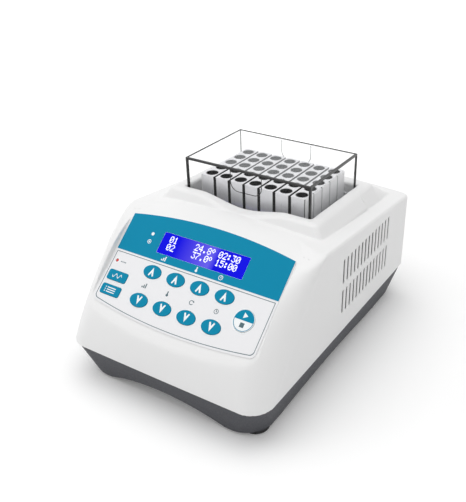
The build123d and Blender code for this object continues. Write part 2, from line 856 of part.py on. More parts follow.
def insulating_pad():
    """Pad between the hot plate and the shaking platform."""
    pad = plate(pad_z, heater_z, 1)
    return pad - [post(x, y, pad_z - 1, heater_z + 1, screw_radius) for x, y in plate_screw_places()]


def platform_screws():
    """Screws up through the platform and the pad into the heater."""
    length = heater_z - platform_z + 4
    return group([Pos(x, y, platform_z) * screw(length, 1.8) for x, y in plate_screw_places()])


def platform():
    """Plate that shakes, with four bearing blocks on the Y rods and a ring for the crank."""
    shaker = plate(platform_z, pad_z, 0)
    for sx in (-1, 1):
        x = sx * rod_y_offset
        for sy in (-1, 1):
            y = block_y + sy * bearing_spread
            sides = (x - bearing_half, x + bearing_half, y - bearing_half, y + bearing_half)
            shaker = shaker + block(*sides, bearing_z, pad_z)
        ends = (block_y - plate_half_y, block_y + plate_half_y)
        shaker = shaker - along_y(x, *ends, rod_y_z, rod_radius + running_gap)
    shaker = shaker + post(0, block_y, bearing_z, platform_z, bushing_radius + 2)
    shaker = shaker - post(0, block_y, bearing_z - 1, platform_z, bushing_radius)
    return shaker - [post(x, y, platform_z - 1, pad_z + 1, screw_radius) for x, y in plate_screw_places()]


def crank_bushing():
    """Bushing in the platform that the crank pin pushes round."""
    ring = post(0, block_y, bearing_z, platform_z, bushing_radius)
    return ring - post(0, block_y, bearing_z - 1, platform_z + 1, bushing_bore)


def cross_carriage():
    """Frame that slides along X on the fixed rods and carries the Y rods."""
    ends = (block_y - carriage_half_y, block_y + carriage_half_y)
    frame = block(-carriage_half_x, carriage_half_x, *ends, carriage_low, carriage_top)
    frame = fillet(frame.edges().filter_by(Axis.Z), 4)
    window = (-carriage_window, carriage_window, block_y - carriage_window, block_y + carriage_window)
    frame = frame - block(*window, carriage_low - 1, carriage_top + 1)
    for sx in (-1, 1):
        x = sx * rod_y_offset
        sides = (x - ear_width / 2, x + ear_width / 2)
        for sy in (-1, 1):
            y = block_y + sy * (carriage_half_y - ear_thickness / 2)
            depth = (y - ear_thickness / 2, y + ear_thickness / 2)
            frame = frame + block(*sides, *depth, carriage_low, rod_y_z + carriage_rise)
        frame = frame - along_y(x, *ends, rod_y_z, rod_radius)
    for sy in (-1, 1):
        y = block_y + sy * rod_x_offset
        frame = frame - along_x(-carriage_half_x, carriage_half_x, y, rod_x_z, rod_radius + running_gap)
    return frame


def cross_rods():
    """Two rods along Y in the carriage's ears."""
    ends = (block_y - carriage_half_y, block_y + carriage_half_y)
    return group([along_y(sx * rod_y_offset, *ends, rod_y_z, rod_radius) for sx in (-1, 1)])


def fixed_rods():
    """Two rods along X between the bridges."""
    end = bridge_x + bridge_thickness / 2
    return group([along_x(-end, end, block_y + sy * rod_x_offset, rod_x_z, rod_radius) for sy in (-1, 1)])


def rod_bridge():
    """One upright that holds the ends of the fixed rods, with a foot that points outwards."""
    outer = bridge_x + bridge_thickness
    depth = (block_y - bridge_half_y, block_y + bridge_half_y)
    wall = block(bridge_x, outer, *depth, tray_floor_z, rod_x_z + 2 * rod_radius)
    foot = block(bridge_x, outer + bridge_foot, *depth, tray_floor_z, tray_floor_z + 3)
    window = carriage_window - 0.5
    across = (bridge_x - 1, outer + 1, block_y - window, block_y + window)
    opening = block(*across, tray_floor_z + cutter_reach, rod_x_z - cutter_reach)
    holes = [along_x(bridge_x - 1, outer, block_y + sy * rod_x_offset, rod_x_z, rod_radius) for sy in (-1, 1)]
    return (wall + foot) - opening - holes


def rod_bridges():
    """Two uprights on the tray's floor, mirror images of each other."""
    bridge = rod_bridge()
    return group([bridge, mirror(bridge, about=Plane.YZ)])


def motor():
    """Motor on the tray's floor under the platform."""
    body = post(0, block_y, motor_z + motor_foot_height / 2, motor_top - 1, motor_radius)
    body = chamfer(body.edges().filter_by(GeomType.CIRCLE), 1.5)
    reach = motor_foot_half
    foot = block(-reach, reach, block_y - reach, block_y + reach, motor_z, motor_z + motor_foot_height)
    body = body + fillet(foot.edges().filter_by(Axis.Z), 3)
    body = body + post(0, block_y, motor_top - 2, motor_top, hub_radius)
    body = body - post(0, block_y, motor_z + 12, motor_top + 1, rod_radius + running_gap)
    for sx in (-1, 1):
        for sy in (-1, 1):
            x = sx * motor_screw_offset
            y = block_y + sy * motor_screw_offset
            body = body - post(x, y, motor_z - 1, motor_z + motor_foot_height + 1, screw_radius)
    return body


def motor_screws():
    """Four screws down through the motor's foot."""
    flipped = Rot(180, 0, 0) * screw(motor_foot_height + 2, 1.6)
    top = motor_z + motor_foot_height
    offset = motor_screw_offset
    return group([Pos(sx * offset, block_y + sy * offset, top) * flipped for sx in (-1, 1) for sy in (-1, 1)])


def crank_shaft():
    """Motor shaft with a hub and an off-centre pin."""
    shaft = post(0, block_y, motor_z + 13, hub_z + 1, rod_radius)
    hub = post(0, block_y, hub_z, hub_top, hub_radius)
    pin = post(orbit_radius, block_y, hub_top, platform_z - 1, crank_radius)
    return shaft + hub + pin


def counterweight():
    """Half disc round the hub, opposite the pin."""
    disc = post(0, block_y, hub_z + 1, hub_top - 1, counterweight_radius)
    disc = disc - post(0, block_y, hub_z, hub_top, hub_radius)
    reach = counterweight_radius
    return disc & block(-reach, -1, block_y - reach, block_y + reach, hub_z, hub_top)


def clear_lid():
    """Five-sided clear cover with a finger recess in the front and the back wall."""
    low = ledge_z + lid_gap
    top = low + lid_height
    cover = block(-lid_half_x, lid_half_x, lid_y - lid_half_y, lid_y + lid_half_y, low, top)
    inner_x = lid_half_x - lid_wall
    inner_y = lid_half_y - lid_wall
    cover = cover - block(-inner_x, inner_x, lid_y - inner_y, lid_y + inner_y, low - 1, top - lid_wall)
    grip = Rectangle(grip_width, grip_depth)
    grip = fillet(grip.vertices().group_by(Axis.Y)[0], grip_corner)
    for side in (-1, 1):
        centre = (0, lid_y + side * lid_half_y, top - lid_wall - grip_depth / 2)
        face = Plane(origin=centre, x_dir=(1, 0, 0), z_dir=(0, -1, 0)) * grip
        cover = cover - extrude(face, amount=grip_recess, both=True)
    return cover


def power_board():
    """Supply board on four posts."""
    depth = (supply_y - supply_half_y, supply_y + supply_half_y)
    return block(-supply_half_x, supply_half_x, *depth, supply_z, supply_top)


def power_transformer():
    """Wound core on the supply board."""
    right = -supply_half_x / 6
    left = right - transformer_width
    low = supply_top
    high = supply_top + transformer_height
    half_core = transformer_depth / 2
    half_winding = half_core + winding_bulge
    core = block(left, right, supply_y - half_core, supply_y + half_core, low, high)
    core = fillet(core.edges().filter_by(Axis.Z), 2)
    inside = (left + winding_inset, right - winding_inset)
    depth = (supply_y - half_winding, supply_y + half_winding)
    return core + block(*inside, *depth, low + winding_inset, high - winding_inset)


def power_capacitors():
    """Three tall capacitors on the supply board."""
    y = supply_y - supply_half_y / 2
    places = [supply_half_x / 3 + k * (2 * capacitor_radius + 2) for k in range(3)]
    return group([post(x, y, supply_top, supply_top + capacitor_height, capacitor_radius) for x in places])


def heat_sink():
    """Finned heat sink for the drive stage."""
    left = supply_half_x / 6
    right = left + sink_fin_count * sink_pitch + sink_fin
    depth = (supply_y + 2, supply_y + 2 + sink_depth)
    sink = block(left, right, *depth, supply_top, supply_top + sink_height)
    gaps = []
    for k in range(sink_fin_count):
        x = left + sink_fin + k * sink_pitch
        gap = (x, x + sink_pitch - sink_fin, supply_y, supply_y + 2 * sink_depth)
        gaps.append(block(*gap, supply_top + sink_base, supply_top + sink_height + 1))
    return sink - gaps


def rear_cut(x, z, width, height):
    """A cutter through the rear wall with clearance round what sits in it."""
    half_x = width / 2 + cutout_gap
    half_z = height / 2 + cutout_gap
    return block(x - half_x, x + half_x, rear_y - 2 * housing_wall, rear_y + 1, z - half_z, z + half_z)


def power_inlet():
    """Rear inlet socket with its flange outside the wall."""
    wide = inlet_width / 2 + inlet_flange
    tall = inlet_height / 2 + 2.5
    outside = rear_y + inlet_flange_thickness
    flange = block(inlet_x - wide, inlet_x + wide, rear_y, outside, inlet_z - tall, inlet_z + tall)
    flange = fillet(flange.edges().filter_by(Axis.Y), 4)
    body = block(
        inlet_x - inlet_width / 2, inlet_x + inlet_width / 2, rear_y - inlet_depth, rear_y + 1,
        inlet_z - inlet_height / 2, inlet_z + inlet_height / 2,
    )
    inner_x = inlet_width / 2 - inlet_wall
    inner_z = inlet_height / 2 - inlet_wall
    socket = block(
        inlet_x - inner_x, inlet_x + inner_x, rear_y - inlet_socket_depth, rear_y + 5,
        inlet_z - inner_z, inlet_z + inner_z,
    )
    socket = chamfer(socket.edges().filter_by(Axis.Y).group_by(Axis.Z)[-1], 4)
    ends = (rear_y - 1, rear_y + 2 * inlet_flange_thickness)
    places = [inlet_x + sx * inlet_screw_offset for sx in (-1, 1)]
    return (flange + body) - socket - [along_y(x, *ends, inlet_z, screw_radius) for x in places]


def inlet_pins():
    """Three flat pins at the bottom of the socket."""
    low = rear_y - inlet_socket_depth
    pins = []
    for dx, dz in ((-pin_spread, 0), (pin_spread, 0), (0, pin_rise)):
        x = inlet_x + dx
        z = inlet_z + dz
        pins.append(block(x - 1, x + 1, low, low + pin_length, z - 2, z + 2))
    return group(pins)


def switch_body():
    """Frame and body of the rear power switch."""
    half_x = switch_width / 2
    half_z = switch_height / 2
    wide = half_x + switch_flange
    tall = half_z + switch_flange
    outside = rear_y + switch_flange_thickness
    flange = block(switch_x - wide, switch_x + wide, rear_y, outside, switch_z - tall, switch_z + tall)
    flange = fillet(flange.edges().filter_by(Axis.Y), 1.5)
    sides = (switch_x - half_x, switch_x + half_x)
    body = block(*sides, rear_y - switch_depth, rear_y + 1, switch_z - half_z, switch_z + half_z)
    inner_x = half_x - switch_wall
    inner_z = half_z - switch_wall
    sides = (switch_x - inner_x, switch_x + inner_x)
    well = block(*sides, rear_y - switch_depth / 2, outside + 1, switch_z - inner_z, switch_z + inner_z)
    end = half_z - axle_inset
    axle = post(switch_x, rear_y - rocker_inset, switch_z - end, switch_z + end, axle_radius + running_gap)
    return (flange + body) - well - axle


def power_rocker():
    """Rocker of the power switch with its axle stubs, tilted to one side."""
    points = [(-rocker_half, 0), (-rocker_half, 4.4), (0, 3.2), (rocker_half, 4.4), (rocker_half, 0)]
    points += [(3, -4), (-3, -4)]
    face = make_face(Polyline(*points, close=True))
    rocker = extrude(face, amount=switch_height / 2 - switch_wall - cutout_gap, both=True)
    rocker = rocker + Cylinder(axle_radius, switch_height - 2 * axle_inset - 4 * running_gap)
    return Pos(switch_x, rear_y - rocker_inset, switch_z) * Rot(0, 0, rocker_tilt) * rocker


def fan_frame():
    """Square fan frame against the rear wall, with four spokes and a spindle."""
    side = fan_size / 2
    back = fan_front_y + fan_thickness
    bore = side - fan_wall
    frame = block(fan_x - side, fan_x + side, fan_front_y, back, fan_z - side, fan_z + side)
    frame = fillet(frame.edges().filter_by(Axis.Y), 3)
    frame = frame - along_y(fan_x, fan_front_y - 1, back + 1, fan_z, bore)
    reach = bore - fan_hub_radius + spoke_width
    for angle in (45, 135, 225, 315):
        spoke = Pos(fan_hub_radius + reach / 2 - spoke_width / 2, 0, 0) * Box(reach, spoke_width, 3)
        frame = frame + Pos(fan_x, fan_front_y + spoke_width / 2, fan_z) * Rot(0, angle, 0) * spoke
    frame = frame + along_y(fan_x, fan_front_y, fan_front_y + spoke_width, fan_z, fan_hub_radius)
    frame = frame + along_y(fan_x, fan_front_y, back - spoke_width, fan_z, spindle_radius)
    corners = rear_screw_places[:4]
    return frame - [along_y(x, fan_front_y - 1, back + 1, z, screw_radius) for x, z in corners]


def fan_rotor():
    """Fan hub with pitched blades, turning on the frame's spindle."""
    low = fan_front_y + spoke_width + 0.5
    high = fan_front_y + fan_thickness - 1.5
    blade_length = fan_size / 2 - fan_wall - fan_hub_radius - 0.5
    blade = Rot(35, 0, 0) * Box(blade_length, high - low - 1, blade_thickness)
    blade = Pos(fan_hub_radius + blade_length / 2 - 0.75, 0, 0) * blade
    rotor = along_y(fan_x, low, high, fan_z, fan_hub_radius)
    for k in range(fan_blades):
        rotor = rotor + Pos(fan_x, (low + high) / 2, fan_z) * Rot(0, k * 360 / fan_blades, 0) * blade
    return rotor - along_y(fan_x, low - 1, high - 0.4, fan_z, spindle_radius + running_gap)


def rear_screws():
    """Screws of the fan and the inlet, with their heads outside."""
    fan_screw = Rot(90, 0, 0) * screw(10, rear_screw_head)
    inlet_screw = Rot(90, 0, 0) * screw(5, rear_screw_head)
    screws = [Pos(x, rear_y, z) * fan_screw for x, z in rear_screw_places[:4]]
    flange_y = rear_y + inlet_flange_thickness
    return group(screws + [Pos(x, flange_y, z) * inlet_screw for x, z in rear_screw_places[4:]])


nodes = {
    "base_tray": base_tray(),
    "rubber_feet": rubber_feet(),
    "foot_screws": foot_screws(),
    "upper_housing": upper_housing(),
    "housing_screws": housing_screws(),
    "chamber_liner": chamber_liner(),
    "liner_screws": liner_screws(),
    "membrane_overlay": membrane_overlay(),
    "display_glass": display_glass(),
    "display_module": display_module(),
    "status_lamp": status_lamp(),
    "control_board": control_board(),
    "board_screws": board_screws(),
    "key_switches": key_switches(),
    "clear_lid": clear_lid(),
    "well_block": well_block(),
    "block_screws": block_screws(),
    "heater_plate": heater_plate(),
    "temperature_sensor": temperature_sensor(),
    "insulating_pad": insulating_pad(),
    "platform": platform(),
    "platform_screws": platform_screws(),
    "crank_bushing": crank_bushing(),
    "cross_carriage": cross_carriage(),
    "cross_rods": cross_rods(),
    "fixed_rods": fixed_rods(),
    "rod_bridges": rod_bridges(),
    "motor": motor(),
    "motor_screws": motor_screws(),
    "crank_shaft": crank_shaft(),
    "counterweight": counterweight(),
    "power_board": power_board(),
    "power_transformer": power_transformer(),
    "power_capacitors": power_capacitors(),
    "heat_sink": heat_sink(),
    "power_inlet": power_inlet(),
    "inlet_pins": inlet_pins(),
    "switch_body": switch_body(),
    "power_rocker": power_rocker(),
    "fan_frame": fan_frame(),
    "fan_rotor": fan_rotor(),
    "rear_screws": rear_screws(),
}
for name, kind, x, v in key_places():
    nodes[name] = key_pad(kind, x, v)

for name, shape in nodes.items():
    export_step(shape, "parts/%s.step" % name)
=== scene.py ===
import json
from math import asin, cos, hypot, pi, radians, sin, sqrt

import bpy
import numpy as np
from mathutils import Matrix, Vector


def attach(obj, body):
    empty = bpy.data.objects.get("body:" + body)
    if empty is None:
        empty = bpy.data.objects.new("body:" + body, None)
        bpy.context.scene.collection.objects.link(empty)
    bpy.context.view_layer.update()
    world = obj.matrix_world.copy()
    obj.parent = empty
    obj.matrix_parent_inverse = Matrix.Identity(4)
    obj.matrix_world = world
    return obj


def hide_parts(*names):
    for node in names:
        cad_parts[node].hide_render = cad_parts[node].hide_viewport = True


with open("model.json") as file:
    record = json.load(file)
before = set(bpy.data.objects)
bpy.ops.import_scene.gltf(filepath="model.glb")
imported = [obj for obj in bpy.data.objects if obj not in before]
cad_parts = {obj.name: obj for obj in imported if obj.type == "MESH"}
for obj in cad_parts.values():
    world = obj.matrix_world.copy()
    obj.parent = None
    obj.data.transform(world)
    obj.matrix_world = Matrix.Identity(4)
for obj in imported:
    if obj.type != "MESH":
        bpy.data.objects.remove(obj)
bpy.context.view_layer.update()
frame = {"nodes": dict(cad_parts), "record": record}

# Thermal mixer: the looks of its moulded housing, printed keypad, clear lid and tube block.
# Sizes are millimetres in the frame's axes, turned into metres where a mesh is made.
MM = 0.001

# Camera at the photograph's place
camera_place = (305.5, -452.5, 391.1)
camera_forward = (-0.44330, 0.75034, -0.49038)
camera_roll_rise = 0.00375
lens = 49.0
shift_x = -0.1036
shift_y = -0.0020

# Housing
half = 99.3
rear_y = 138.5
seam_z = 33.0
cheek_radius = 164.0
cheek_centre_y = 14.81
cheek_centre_z = -25.17
cheek_crown = 5.0
seam_bow = 0.4
bow_rise = 35.0
deck_front_y = -46.0
deck_front_z = 127.1
deck_slope = 0.095
deck_crown = 4.0
corner_seam = 19.5
corner_mid = 27.0
corner_top = 9.0
corner_rear = 8.0
edge_side = 2.6
edge_front = 12.0
edge_start_y = 20.0
edge_run = 60.0
crown_reach = 5.0
wall = 3.0
lip_height = 1.5
lip_reach = 0.5

# Collar round the chamber
rim_half = 76.0
collar_half = 85.0
rim_front_z = 135.7
rim_slope = 0.0375
rim_front_y = -13.0
rim_rear_y = 95.0
edge_drop = 12.2
collar_front_y = -21.6
collar_step_y = 68.0
collar_rear_y = 130.0
scoop_half = 52.0
scoop_depth = 7.6
scoop_reach_y = 5.4
rim_round = 2.8
collar_round = 1.0
collar_front_round = 4.0
tail_rise = 1.5
crest = 0.5
crease = 0.6
lid_y = 41.0
opening_half_x = 65.25
opening_half_y = 45.0
opening_corner = 1.5

# Keypad panel: v runs down its slope and lift is along its normal
panel_y = -56.35
panel_z = 125.1
panel_angle = radians(40.7)
panel_half = 81.4
panel_height = 84.0
recess_half = 83.5
recess_edge = 0.8
panel_arch = 7.5
film = 0.8
window_margin = 0.3
key_hole = 2.6
lamp_hole = 1.8
display_x = 0.9
display_v = 17.7
display_half_x = 43.15
display_half_v = 9.65
arrow_x = [-36.4 + 24.35 * k for k in range(4)]
arrow_v = {"up": 44.6, "down": 70.4}
arrow_half = (9.2, 6.15)
bar_x = -67.2
bar_v = {"mix_key": 57.7, "program_key": 70.8}
bar_half = (10.5, 4.75)
round_place = (61.0, 57.1)
round_radius = 9.4
lamp_place = (-75.3, 44.6)

# Vents and rear cut-outs
vent_first_y = -5.5
vent_pitch = 7.1
vent_count = 14
vent_half = 1.3
vent_edge = 0.5
cut_reach = 8.0
vent_rows = ((52.7, 76.6), (82.8, 106.9))
fan_x = -38.0
fan_z = 66.0
fan_bore = 23.5
grille_pitch = 6.0
grille_half = 1.5
inlet_cut = (58.0, 52.0, 13.8, 10.3)
switch_cut = (58.0, 86.0, 9.8, 6.8)
rear_holes = [(fan_x + sx * 20, fan_z + sz * 20) for sx in (-1, 1) for sz in (-1, 1)]
rear_holes += [(inlet_cut[0] + sx * 20, inlet_cut[1]) for sx in (-1, 1)]
rear_hole_radius = 1.6

# Tube block
block_y = 43.0
block_top = 145.8
column_pitch = 15.7
row_pitch = 15.0
well_radius = 5.5
slot_width = 2.2
groove = 1.8
block_half_x = 53.85
block_half_y = 37.5
rib_low = 108.0
columns = 7
rows = 5

# Clear cover
cover_half_x = 64.25
cover_half_y = 44.0
cover_low = 122.7
cover_top = 162.7
cover_wall = 2.0
grip_half = 16.0
grip_depth = 19.0
grip_corner = 8.0


def round_max(a, b, radius):
    """Intersection of two solids' distances with a round edge."""
    outer = np.hypot(np.maximum(a + radius, 0), np.maximum(b + radius, 0))
    return np.minimum(np.maximum(a + radius, b + radius), 0) + outer - radius


def round_min(a, b, radius):
    """Union of two solids' distances with a round inner corner."""
    return -round_max(-a, -b, radius)


def surface_net(field, low, step):
    """Vertices and quads of a distance field's zero surface, one vertex a cell."""
    inside = field < 0
    cells = tuple(n - 1 for n in field.shape)
    corners = [(i, j, k) for i in (0, 1) for j in (0, 1) for k in (0, 1)]

    def part(array, corner):
        i, j, k = corner
        return array[i:i + cells[0], j:j + cells[1], k:k + cells[2]]

    count = np.zeros(cells, np.int8)
    for corner in corners:
        count += part(inside, corner)
    place = np.argwhere((count > 0) & (count < 8))
    index = np.full(cells, -1, np.int32)
    index[tuple(place.T)] = np.arange(len(place))
    total = np.zeros((len(place), 3), np.float32)
    hits = np.zeros(len(place), np.float32)
    for corner in corners:
        for axis in range(3):
            if corner[axis] == 1:
                continue
            other = list(corner)
            other[axis] = 1
            a = field[tuple((place + corner).T)]
            b = field[tuple((place + other).T)]
            crossed = (a < 0) != (b < 0)
            share = np.where(crossed, a / np.where(crossed, a - b, 1), 0)
            point = np.tile(np.array(corner, np.float32), (len(place), 1))
            point[:, axis] += share
            total += point * crossed[:, None]
            hits += crossed
    vertices = (place + total / hits[:, None]) * step + np.array(low)
    quads = []
    for axis in range(3):
        side_a, side_b = [n for n in range(3) if n != axis]
        ahead = [slice(1, -1)] * 3
        ahead[axis] = slice(1, None)
        behind = [slice(1, -1)] * 3
        behind[axis] = slice(0, -1)
        a = inside[tuple(behind)]
        b = inside[tuple(ahead)]
        edges = np.argwhere(a != b)
        entering = b[tuple(edges.T)]
        cell = edges + 1
        cell[:, axis] -= 1
        ring = []
        for da, db in ((-1, -1), (0, -1), (0, 0), (-1, 0)):
            near = cell.copy()
            near[:, side_a] += da
            near[:, side_b] += db
            ring.append(index[tuple(near.T)])
        quad = np.stack(ring, 1)
        flip = entering if axis != 1 else ~entering
        quad[flip] = quad[flip][:, ::-1]
        quads.append(quad)
    return vertices, np.concatenate(quads)


def grid(low, high, step):
    """Three open coordinate arrays of a box."""
    axes = [np.arange(a, b + step / 2, step, dtype=np.float32) for a, b in zip(low, high)]
    return np.meshgrid(*axes, indexing="ij", sparse=True)


def deck_height(y):
    """Height of the deck's side edge."""
    return deck_front_z - deck_slope * (y - deck_front_y)


def rim_height(y):
    """Height of the collar's rim."""
    return rim_front_z - rim_slope * (y - rim_front_y)


def panel_coordinates(y, z):
    """v down the keypad's slope and lift off it."""
    v = -(y - panel_y) * cos(panel_angle) - (z - panel_z) * sin(panel_angle)
    lift = -(y - panel_y) * sin(panel_angle) + (z - panel_z) * cos(panel_angle)
    return v, lift


def body_distance(x, y, z):
    """The housing without its collar: flat sides, an arched front and a crowned deck."""
    side = np.abs(x) - half
    bow = seam_bow + (cheek_crown - seam_bow) * np.sin(pi / 2 * np.clip((z - seam_z) / bow_rise, 0, 1))
    radius = cheek_radius + bow * (1 - (x / half) ** 2)
    rise = z - cheek_centre_z
    front = cheek_centre_y - np.sqrt(np.maximum(radius ** 2 - rise ** 2, 1)) - y
    share = np.clip((z - seam_z) / (deck_front_z - seam_z), 0, 1)
    swell = np.sin(pi * share)
    low_corner = corner_seam + (corner_mid - corner_seam) * swell
    high_corner = corner_top + (corner_mid - corner_top) * swell
    corner = np.where(share < 0.5, low_corner, high_corner)
    plan = round_max(side, front, corner)
    level = np.sqrt(np.clip(1 - (rise / cheek_radius) ** 2, 0.05, 1))
    fronting = np.clip((front - side) / (2 * corner) + 0.5, 0, 1)
    plan = plan * (1 + (level - 1) * fronting)
    plan = round_max(plan, y - rear_y, corner_rear)
    deck = z - deck_height(y) - deck_crown * (1 - (x / (half + crown_reach)) ** 2)
    edge = edge_side + (edge_front - edge_side) * fronting * np.clip((edge_start_y - y) / edge_run, 0, 1)
    return round_max(plan, deck, edge)


def collar_distance(x, y, z):
    """The raised collar: lean front, sharp shoulders, a step near the rear and a long fall behind."""
    fall = np.clip((y - rim_rear_y) / (collar_rear_y - rim_rear_y), 0, 1)
    tail = rim_height(rim_rear_y) + (deck_height(collar_rear_y) + tail_rise - rim_height(rim_rear_y)) * fall
    top = np.where(y < rim_rear_y, rim_height(y), tail)
    edge = np.where(y < collar_step_y, rim_height(y) - edge_drop, deck_height(y) + crest)
    ease = np.clip(1 - np.abs(x) / scoop_half, 0, 1)
    dip = scoop_depth * ease ** 2 * (3 - 2 * ease)
    scooped = np.minimum(top, rim_height(rim_front_y) + crest - dip)
    roof = np.where(y < scoop_reach_y, scooped, top)
    height = np.maximum(top - edge, crest)
    width = collar_half - rim_half
    shoulder = ((np.abs(x) - collar_half) * height + (z - edge) * width) / np.hypot(height, width)
    lean = rim_front_y - collar_front_y
    front_edge = rim_height(collar_front_y) - edge_drop
    front = (-(y - collar_front_y) * edge_drop + (z - front_edge) * lean) / hypot(edge_drop, lean)
    collar = round_max(shoulder, np.abs(x) - collar_half, collar_round)
    collar = round_max(collar, front, collar_front_round)
    collar = round_max(collar, z - roof, rim_round)
    return np.maximum(collar, y - collar_rear_y)


def slot_distance(a, b, half_width, low, high):
    """A slot that runs along b from low to high."""
    middle = np.clip(b, low + half_width, high - half_width)
    return np.hypot(a, b - middle) - half_width


def housing_field(x, y, z):
    """The whole shell with its cavity, recess, opening, vents and cut-outs."""
    v, lift = panel_coordinates(y, z)
    body = body_distance(x, y, z)
    cavity = np.maximum(body + wall, lift + film + wall)
    lip = np.maximum(body - lip_reach * np.clip(1 - (z - seam_z) / lip_height, 0, 1), z - seam_z - lip_height)
    arch_v = -panel_arch * (1 - (x / panel_half) ** 2) - 1.0
    recess = np.maximum(np.maximum(-(lift + film), np.abs(x) - recess_half), arch_v - v)
    shell = round_max(body, -recess, recess_edge)
    shell = round_min(shell, collar_distance(x, y, z), crease)
    opening = round_max(np.abs(x) - opening_half_x, np.abs(y - lid_y) - opening_half_y, opening_corner)
    shell = round_max(shell, -opening, rim_round)
    shell = np.minimum(shell, lip)
    shell = np.maximum(shell, -cavity)
    row = np.clip(np.round((y - vent_first_y) / vent_pitch), 0, vent_count - 1)
    across = y - vent_first_y - row * vent_pitch
    for low, high in vent_rows:
        slot = slot_distance(across, z, vent_half, low, high)
        shell = np.where(np.abs(x) > half - cut_reach, round_max(shell, -slot, vent_edge), shell)
    rear = y > rear_y - cut_reach
    for k in range(-3, 4):
        reach = sqrt(fan_bore ** 2 - (grille_pitch * k) ** 2) - grille_half
        slot = slot_distance(z - fan_z - grille_pitch * k, x - fan_x, grille_half, -reach, reach)
        shell = np.where(rear, np.maximum(shell, -slot), shell)
    for cut_x, cut_z, cut_half_x, cut_half_z in (inlet_cut, switch_cut):
        cut = np.maximum(np.abs(x - cut_x) - cut_half_x, np.abs(z - cut_z) - cut_half_z)
        shell = np.where(rear, np.maximum(shell, -cut), shell)
    for hole_x, hole_z in rear_holes:
        hole = np.hypot(x - hole_x, z - hole_z) - rear_hole_radius
        shell = np.where(rear, np.maximum(shell, -hole), shell)
    near = np.abs(lift + cut_reach / 2) < cut_reach
    window = np.maximum(np.abs(x - display_x) - display_half_x, np.abs(v - display_v) - display_half_v)
    window = window - window_margin
    shell = np.where(near, np.maximum(shell, -window), shell)
    places = [(x0, v0) for x0 in arrow_x for v0 in arrow_v.values()] + [(bar_x, v0) for v0 in bar_v.values()]
    for x0, v0 in places + [round_place]:
        shell = np.where(near, np.maximum(shell, key_hole - np.hypot(x - x0, v - v0)), shell)
    lamp = np.hypot(x - lamp_place[0], v - lamp_place[1]) - lamp_hole
    shell = np.where(near, np.maximum(shell, -lamp), shell)
    return np.maximum(shell, seam_z - z)


def mesh_object(name, vertices, faces, material, smooth=True):
    """An object whose vertices are given in millimetres."""
    mesh = bpy.data.meshes.new(name)
    mesh.from_pydata((np.asarray(vertices, float) * MM).tolist(), [], faces)
    mesh.validate()
    mesh.update()
    piece = bpy.data.objects.new(name, mesh)
    bpy.context.scene.collection.objects.link(piece)
    mesh.materials.append(material)
    mesh.polygons.foreach_set("use_smooth", [smooth] * len(mesh.polygons))
    return piece


def thinned(piece, field, step, share):
    """The same form with a share of its triangles and the field's own slopes as its normals."""
    thinner = piece.modifiers.new("thinner", "DECIMATE")
    thinner.ratio = share
    thinner.use_collapse_triangulate = True
    mesh = bpy.data.meshes.new_from_object(piece.evaluated_get(bpy.context.evaluated_depsgraph_get()))
    piece.modifiers.clear()
    piece.data = mesh
    places = np.empty(len(mesh.vertices) * 3)
    mesh.vertices.foreach_get("co", places)
    places = places.reshape(-1, 3) / MM
    slopes = []
    for axis in range(3):
        offset = np.eye(3)[axis] * step / 2
        slopes.append(field(*(places + offset).T) - field(*(places - offset).T))
    normals = np.stack(slopes, 1)
    normals /= np.maximum(np.linalg.norm(normals, axis=1), 1e-6)[:, None]
    mesh.polygons.foreach_set("use_smooth", [True] * len(mesh.polygons))
    mesh.normals_split_custom_set_from_vertices(normals.tolist())
    return piece


def moulded(name, field, low, high, step, share, material):
    """A closed moulded form from its distance field."""
    size = [int(round((b - a) / step)) + 1 for a, b in zip(low, high)]
    values = np.broadcast_to(field(*grid(low, high, step)), size)
    vertices, quads = surface_net(np.ascontiguousarray(values), low, step)
    return thinned(mesh_object(name, vertices, quads.tolist(), material), field, step, share)


# Finishes
def colour(red, green, blue):
    """A screen colour, 0 to 255, as the linear value that a shader takes."""
    return tuple(((c / 255 + 0.055) / 1.055) ** 2.4 for c in (red, green, blue)) + (1.0,)


def shader_group(name, inputs, outputs):
    """An empty node group with its sockets, its input node and its output node."""
    group = bpy.data.node_groups.new(name, "ShaderNodeTree")
    for label, kind, value in inputs:
        socket = group.interface.new_socket(name=label, in_out="INPUT", socket_type="NodeSocket" + kind)
        socket.default_value = value
    for label in outputs:
        group.interface.new_socket(name=label, in_out="OUTPUT", socket_type="NodeSocketFloat")
    return group, group.nodes.new("NodeGroupInput"), group.nodes.new("NodeGroupOutput")


def math_node(tree, operation, first, second=None, clamp=False):
    """A math node whose inputs are sockets or numbers; gives its output socket."""
    node = tree.nodes.new("ShaderNodeMath")
    node.operation = operation
    node.use_clamp = clamp
    for slot, value in zip(node.inputs, (first, second)):
        if hasattr(value, "is_linked"):
            tree.links.new(value, slot)
        elif value is not None:
            slot.default_value = value
    return node.outputs[0]


